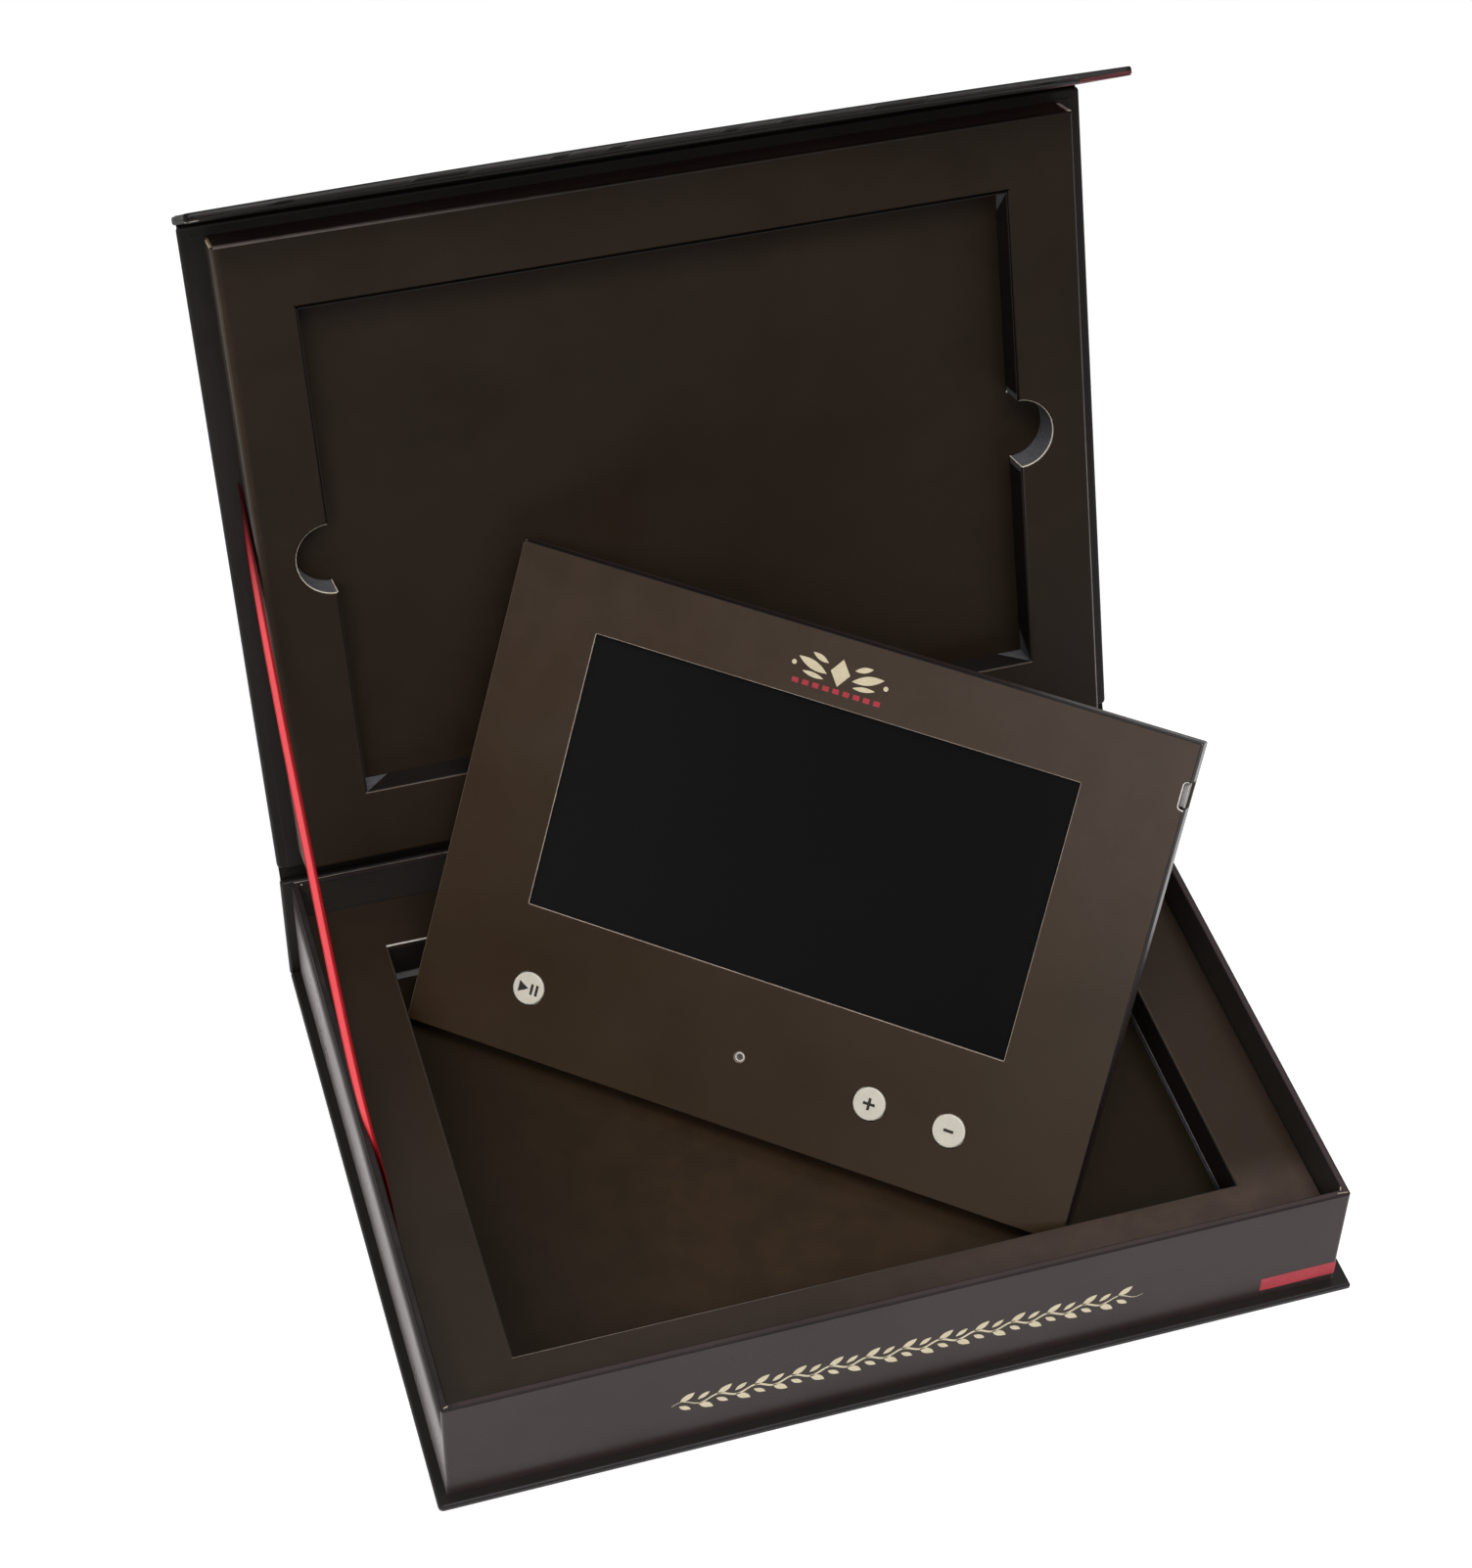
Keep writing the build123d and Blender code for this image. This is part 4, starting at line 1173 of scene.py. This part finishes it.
def rect(cx, cz, w, h):
    return [(cx - w / 2, cz - h / 2), (cx + w / 2, cz - h / 2), (cx + w / 2, cz + h / 2), (cx - w / 2, cz + h / 2)]


bx = BTN["play"]
symbol("mark_play", [[(bx - 3.15, BTN_Z - 1.8), (bx + 0.1, BTN_Z), (bx - 3.15, BTN_Z + 1.8)], rect(bx + 1.15, BTN_Z, 0.85, 3.4), rect(bx + 2.8, BTN_Z, 0.85, 3.4)], "play_button")
bx = BTN["plus"]
a, b = 0.45, 1.9
symbol("mark_plus", [[(bx - b, BTN_Z - a), (bx - a, BTN_Z - a), (bx - a, BTN_Z - b), (bx + a, BTN_Z - b), (bx + a, BTN_Z - a), (bx + b, BTN_Z - a),
                      (bx + b, BTN_Z + a), (bx + a, BTN_Z + a), (bx + a, BTN_Z + b), (bx - a, BTN_Z + b), (bx - a, BTN_Z + a), (bx - b, BTN_Z + a)]], "plus_button")
bx = BTN["minus"]
symbol("mark_minus", [rect(bx, BTN_Z, 3.1, 0.95)], "minus_button")

# status lamp: clear domed lens in its well
make("lamp_lens", revolve([(0, 0.42), (0.35, 0.4), (0.7, 0.34), (1.0, 0.26), (1.25, 0.2), (1.5, 0.24), (1.6, 0.34), (1.6, 4.95), (0, 4.95)], LED_X, LED_Z, 32,
                          mats=[1, 1, 1, 0, 0, 0, 0, 0], smooth=[True] * 6 + [False] * 2), at_player, [LENS, HOLE], "player", ["status_led"])


# USB socket: folded steel shell, tongue and contacts
def usb():
    s = Shape()
    prof = rrect(2.6, 5.2, 134.3, 141.8, 0.7, 4)
    rows = [(0.0, 209.4), (0.0, 214.8), (-0.12, 215.1), (-0.1, 215.2), (0.1, 215.2), (0.25, 214.9), (0.25, 209.7)]
    prev = None
    for d, x in rows:
        ids = s.ring([(x, u, v) for u, v in prof(d)])
        if prev is not None:
            s.join(prev, ids, 0, True)
        else:
            s.fill([ids], 0)
        prev = ids
    s.fill([prev], 1)
    return s


make("usb_shell", usb(), at_player, [STEEL, BLACKP], "player", ["usb_socket"])
s = plate(rrect(3.55, 4.15, 135.4, 140.7, 0.1, 2), [], [(0.12, 214.7, 0, True), (0.0, 214.55, 0, False), (0.0, 209.9, 0, False)], [], lambda u, v, w: (w, u, v))
for k in range(5):
    zc = 136.2 + k * 0.93
    prism([(3.46, zc - 0.2), (3.58, zc - 0.2), (3.58, zc + 0.2), (3.46, zc + 0.2)], 210.6, 214.5, lambda u, v, w: (w, u, v), 1, s)
make("usb_tongue", s, at_player, [BLACKP, GOLD], "player")

# a plain device where the card carries its print, above the window
s = Shape()
cx, cz, yo = 106.6, 143.2, (0.01, -0.03)
prism(lozenge(cx, cz, 6.2, 8.4), yo[0], yo[1], XZ, 0, s)
for sg in (-1, 1):
    prism(leaf(cx + sg * 4.0, cz - 1.4, cx + sg * 13.6, cz + 1.6, 2.7), yo[0], yo[1], XZ, 0, s)
    prism(leaf(cx + sg * 4.2, cz + 1.9, cx + sg * 9.6, cz + 3.8, 1.7), yo[0], yo[1], XZ, 0, s)
    prism(leaf(cx + sg * 4.6, cz - 3.2, cx + sg * 11.6, cz - 2.4, 1.5), yo[0], yo[1], XZ, 0, s)
    prism(disc(cx + sg * 14.6, cz - 0.6, 0.75), yo[0], yo[1], XZ, 0, s)
for k in range(-4, 5):
    prism(rect(cx + k * 3.25, 137.5, 2.0, 1.5), yo[0], yo[1], XZ, 1, s)
make("player_device_print", s, at_player, [INKC, INKR], "player")

# ------------------------------------------------------------------ soft pieces
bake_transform(stay)
e = yz(at_lid, 104.3, 46.1)
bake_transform(spine_crease)
p0, p1 = yz(at_lid, -103.3, 46.15), yz(at_flap, -106.15, 44.9)
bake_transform(flap_crease)

# ------------------------------------------------------------------ floor, light and camera
def floor_mat():
    """Pale floor, bright round the object and falling off into a darker room."""
    m, nt, p = new_mat("studio_floor", rough=0.8, spec=0.15, color=(0.86, 0.86, 0.86))
    tc = nt.nodes.new("ShaderNodeTexCoord")
    sp = nt.nodes.new("ShaderNodeSeparateXYZ")
    nt.links.new(tc.outputs["Object"], sp.inputs["Vector"])
    x, y = sp.outputs["X"], maths(nt, "SUBTRACT", sp.outputs["Y"], 0.25)
    r = maths(nt, "SQRT", maths(nt, "ADD", maths(nt, "MULTIPLY", x, x), maths(nt, "MULTIPLY", y, y)))
    ring = to_range(nt, r, 1.0, 0.22, 0.75, 1.6)
    front = to_range(nt, sp.outputs["Y"], 0.25, 1.0, -0.75, -0.3)
    near = maths(nt, "MULTIPLY", ring, front)
    n = noise_tex(nt, tc.outputs["Object"], 60, 3, 0.5)
    col = ramp(nt, n, [(0.3, (0.49, 0.49, 0.494)), (0.7, (0.51, 0.51, 0.51))])
    nt.links.new(mix(nt, near, (0.1, 0.1, 0.1), col), p.inputs["Base Color"])
    p.inputs["Emission Color"].default_value = (1, 1, 1, 1)
    nt.links.new(maths(nt, "MULTIPLY", near, 0.72), p.inputs["Emission Strength"])
    return m


me = bpy.data.meshes.new("studio_floor")
me.from_pydata([(-3, -2, -0.0002), (3, -2, -0.0002), (3, 3.5, -0.0002), (-3, 3.5, -0.0002)], [], [(0, 1, 2, 3)])
me.materials.append(floor_mat())
floor = bpy.data.objects.new("studio_floor", me)
bpy.context.scene.collection.objects.link(floor)


def backdrop_mat():
    """White studio surround, clear round the object and closed further out."""
    m = bpy.data.materials.new("studio_surround")
    m.use_nodes = True
    nt = m.node_tree
    nt.nodes.clear()
    out = nt.nodes.new("ShaderNodeOutputMaterial")
    em = nt.nodes.new("ShaderNodeEmission")
    em.inputs["Color"].default_value = (1, 1, 1, 1)
    em.inputs["Strength"].default_value = 1.0
    clear = nt.nodes.new("ShaderNodeBsdfTransparent")
    both = nt.nodes.new("ShaderNodeMixShader")
    tc = nt.nodes.new("ShaderNodeTexCoord")
    sp = nt.nodes.new("ShaderNodeSeparateXYZ")
    nt.links.new(tc.outputs["Object"], sp.inputs["Vector"])
    x, y = sp.outputs["X"], sp.outputs["Y"]
    r = maths(nt, "SQRT", maths(nt, "ADD", maths(nt, "MULTIPLY", x, x), maths(nt, "MULTIPLY", y, y)))
    nt.links.new(to_range(nt, r, 0.0, 1.0, 0.36, 0.66), both.inputs[0])
    nt.links.new(clear.outputs[0], both.inputs[1])
    nt.links.new(em.outputs[0], both.inputs[2])
    nt.links.new(both.outputs[0], out.inputs["Surface"])
    return m


profile = [(0.3, -0.0001), (0.7, -0.0001), (1.2, -0.0001), (3.0, -0.0001), (8.0, -0.0001), (10.0, 0.5), (11.4, 2.2), (12.0, 5.0), (10.5, 9.0), (6.0, 12.0), (0.001, 13.0)]
me = bpy.data.meshes.new("studio_surround")
me.from_pydata(
    [(r * math.cos(2 * math.pi * k / 64), r * math.sin(2 * math.pi * k / 64), z) for r, z in profile for k in range(64)],
    [],
    [(i * 64 + k, i * 64 + (k + 1) % 64, (i + 1) * 64 + (k + 1) % 64, (i + 1) * 64 + k) for i in range(len(profile) - 1) for k in range(64)],
)
me.materials.append(backdrop_mat())
surround = bpy.data.objects.new("studio_surround", me)
surround.visible_diffuse = surround.visible_glossy = surround.visible_transmission = surround.visible_volume_scatter = surround.visible_shadow = False
bpy.context.scene.collection.objects.link(surround)

world = bpy.data.worlds.new("studio")
bpy.context.scene.world = world
world.use_nodes = True
wn = world.node_tree
bg = wn.nodes["Background"]
tc = wn.nodes.new("ShaderNodeTexCoord")
sp = wn.nodes.new("ShaderNodeSeparateXYZ")
wn.links.new(tc.outputs["Generated"], sp.inputs["Vector"])
wn.links.new(ramp(wn, to_range(wn, sp.outputs["Z"], 0, 1, -1, 1), [(0.0, (0.1, 0.1, 0.1)), (0.5, (0.07, 0.07, 0.07)), (0.75, (0.12, 0.12, 0.124)), (1.0, (0.42, 0.42, 0.43))]), bg.inputs["Color"])
bg.inputs["Strength"].default_value = 1.0


def area(name, loc, target, size, power, color=(1, 1, 1)):
    l = bpy.data.lights.new(name, "AREA")
    l.shape, l.size, l.size_y, l.energy, l.color = "RECTANGLE", size[0], size[1], power, color
    o = bpy.data.objects.new(name, l)
    o.location = loc
    o.rotation_mode = "QUATERNION"
    o.rotation_quaternion = (Vector(target) - Vector(loc)).to_track_quat("-Z", "Y")
    bpy.context.scene.collection.objects.link(o)
    return o


area("key_front", (0.25, -1.05, 2.3), (0, 0.08, 0.08), (1.5, 1.1), 36)
area("top_back", (0.3, 1.3, 2.3), (0, 0.7, 0), (1.6, 0.8), 8)
area("fill_front_left", (-0.75, -1.3, 1.25), (0, 0, 0.1), (0.8, 0.6), 12, (1, 0.97, 0.95))
area("side_left", (-1.6, 0.95, 0.75), (-0.13, 0.05, 0.1), (1.0, 0.8), 6)

cam = bpy.data.cameras.new("camera")
F, CX, CY = 3519.46, 804.94, 762.47
cam.sensor_fit = "AUTO"
cam.sensor_width = 36.0
cam.lens = F / 1602 * 36
cam.shift_x = (752 - CX) / 1602
cam.shift_y = (CY - 801) / 1602
cam.clip_start, cam.clip_end = 0.01, 50
co = bpy.data.objects.new("camera", cam)
R0 = Vector((0.9548705, -0.2960391, 0.0241486))
R1 = Vector((-0.1906013, -0.6730731, -0.7145934))
R2 = Vector((0.2278014, 0.6777414, -0.6991231))
rot = Matrix((R0, -R1, -R2)).transposed()
co.matrix_world = Matrix.Translation((-0.2239, -0.64436, 0.83055)) @ rot.to_4x4()
bpy.context.scene.collection.objects.link(co)
bpy.context.scene.camera = co
bpy.context.scene.view_settings.view_transform = "Standard"
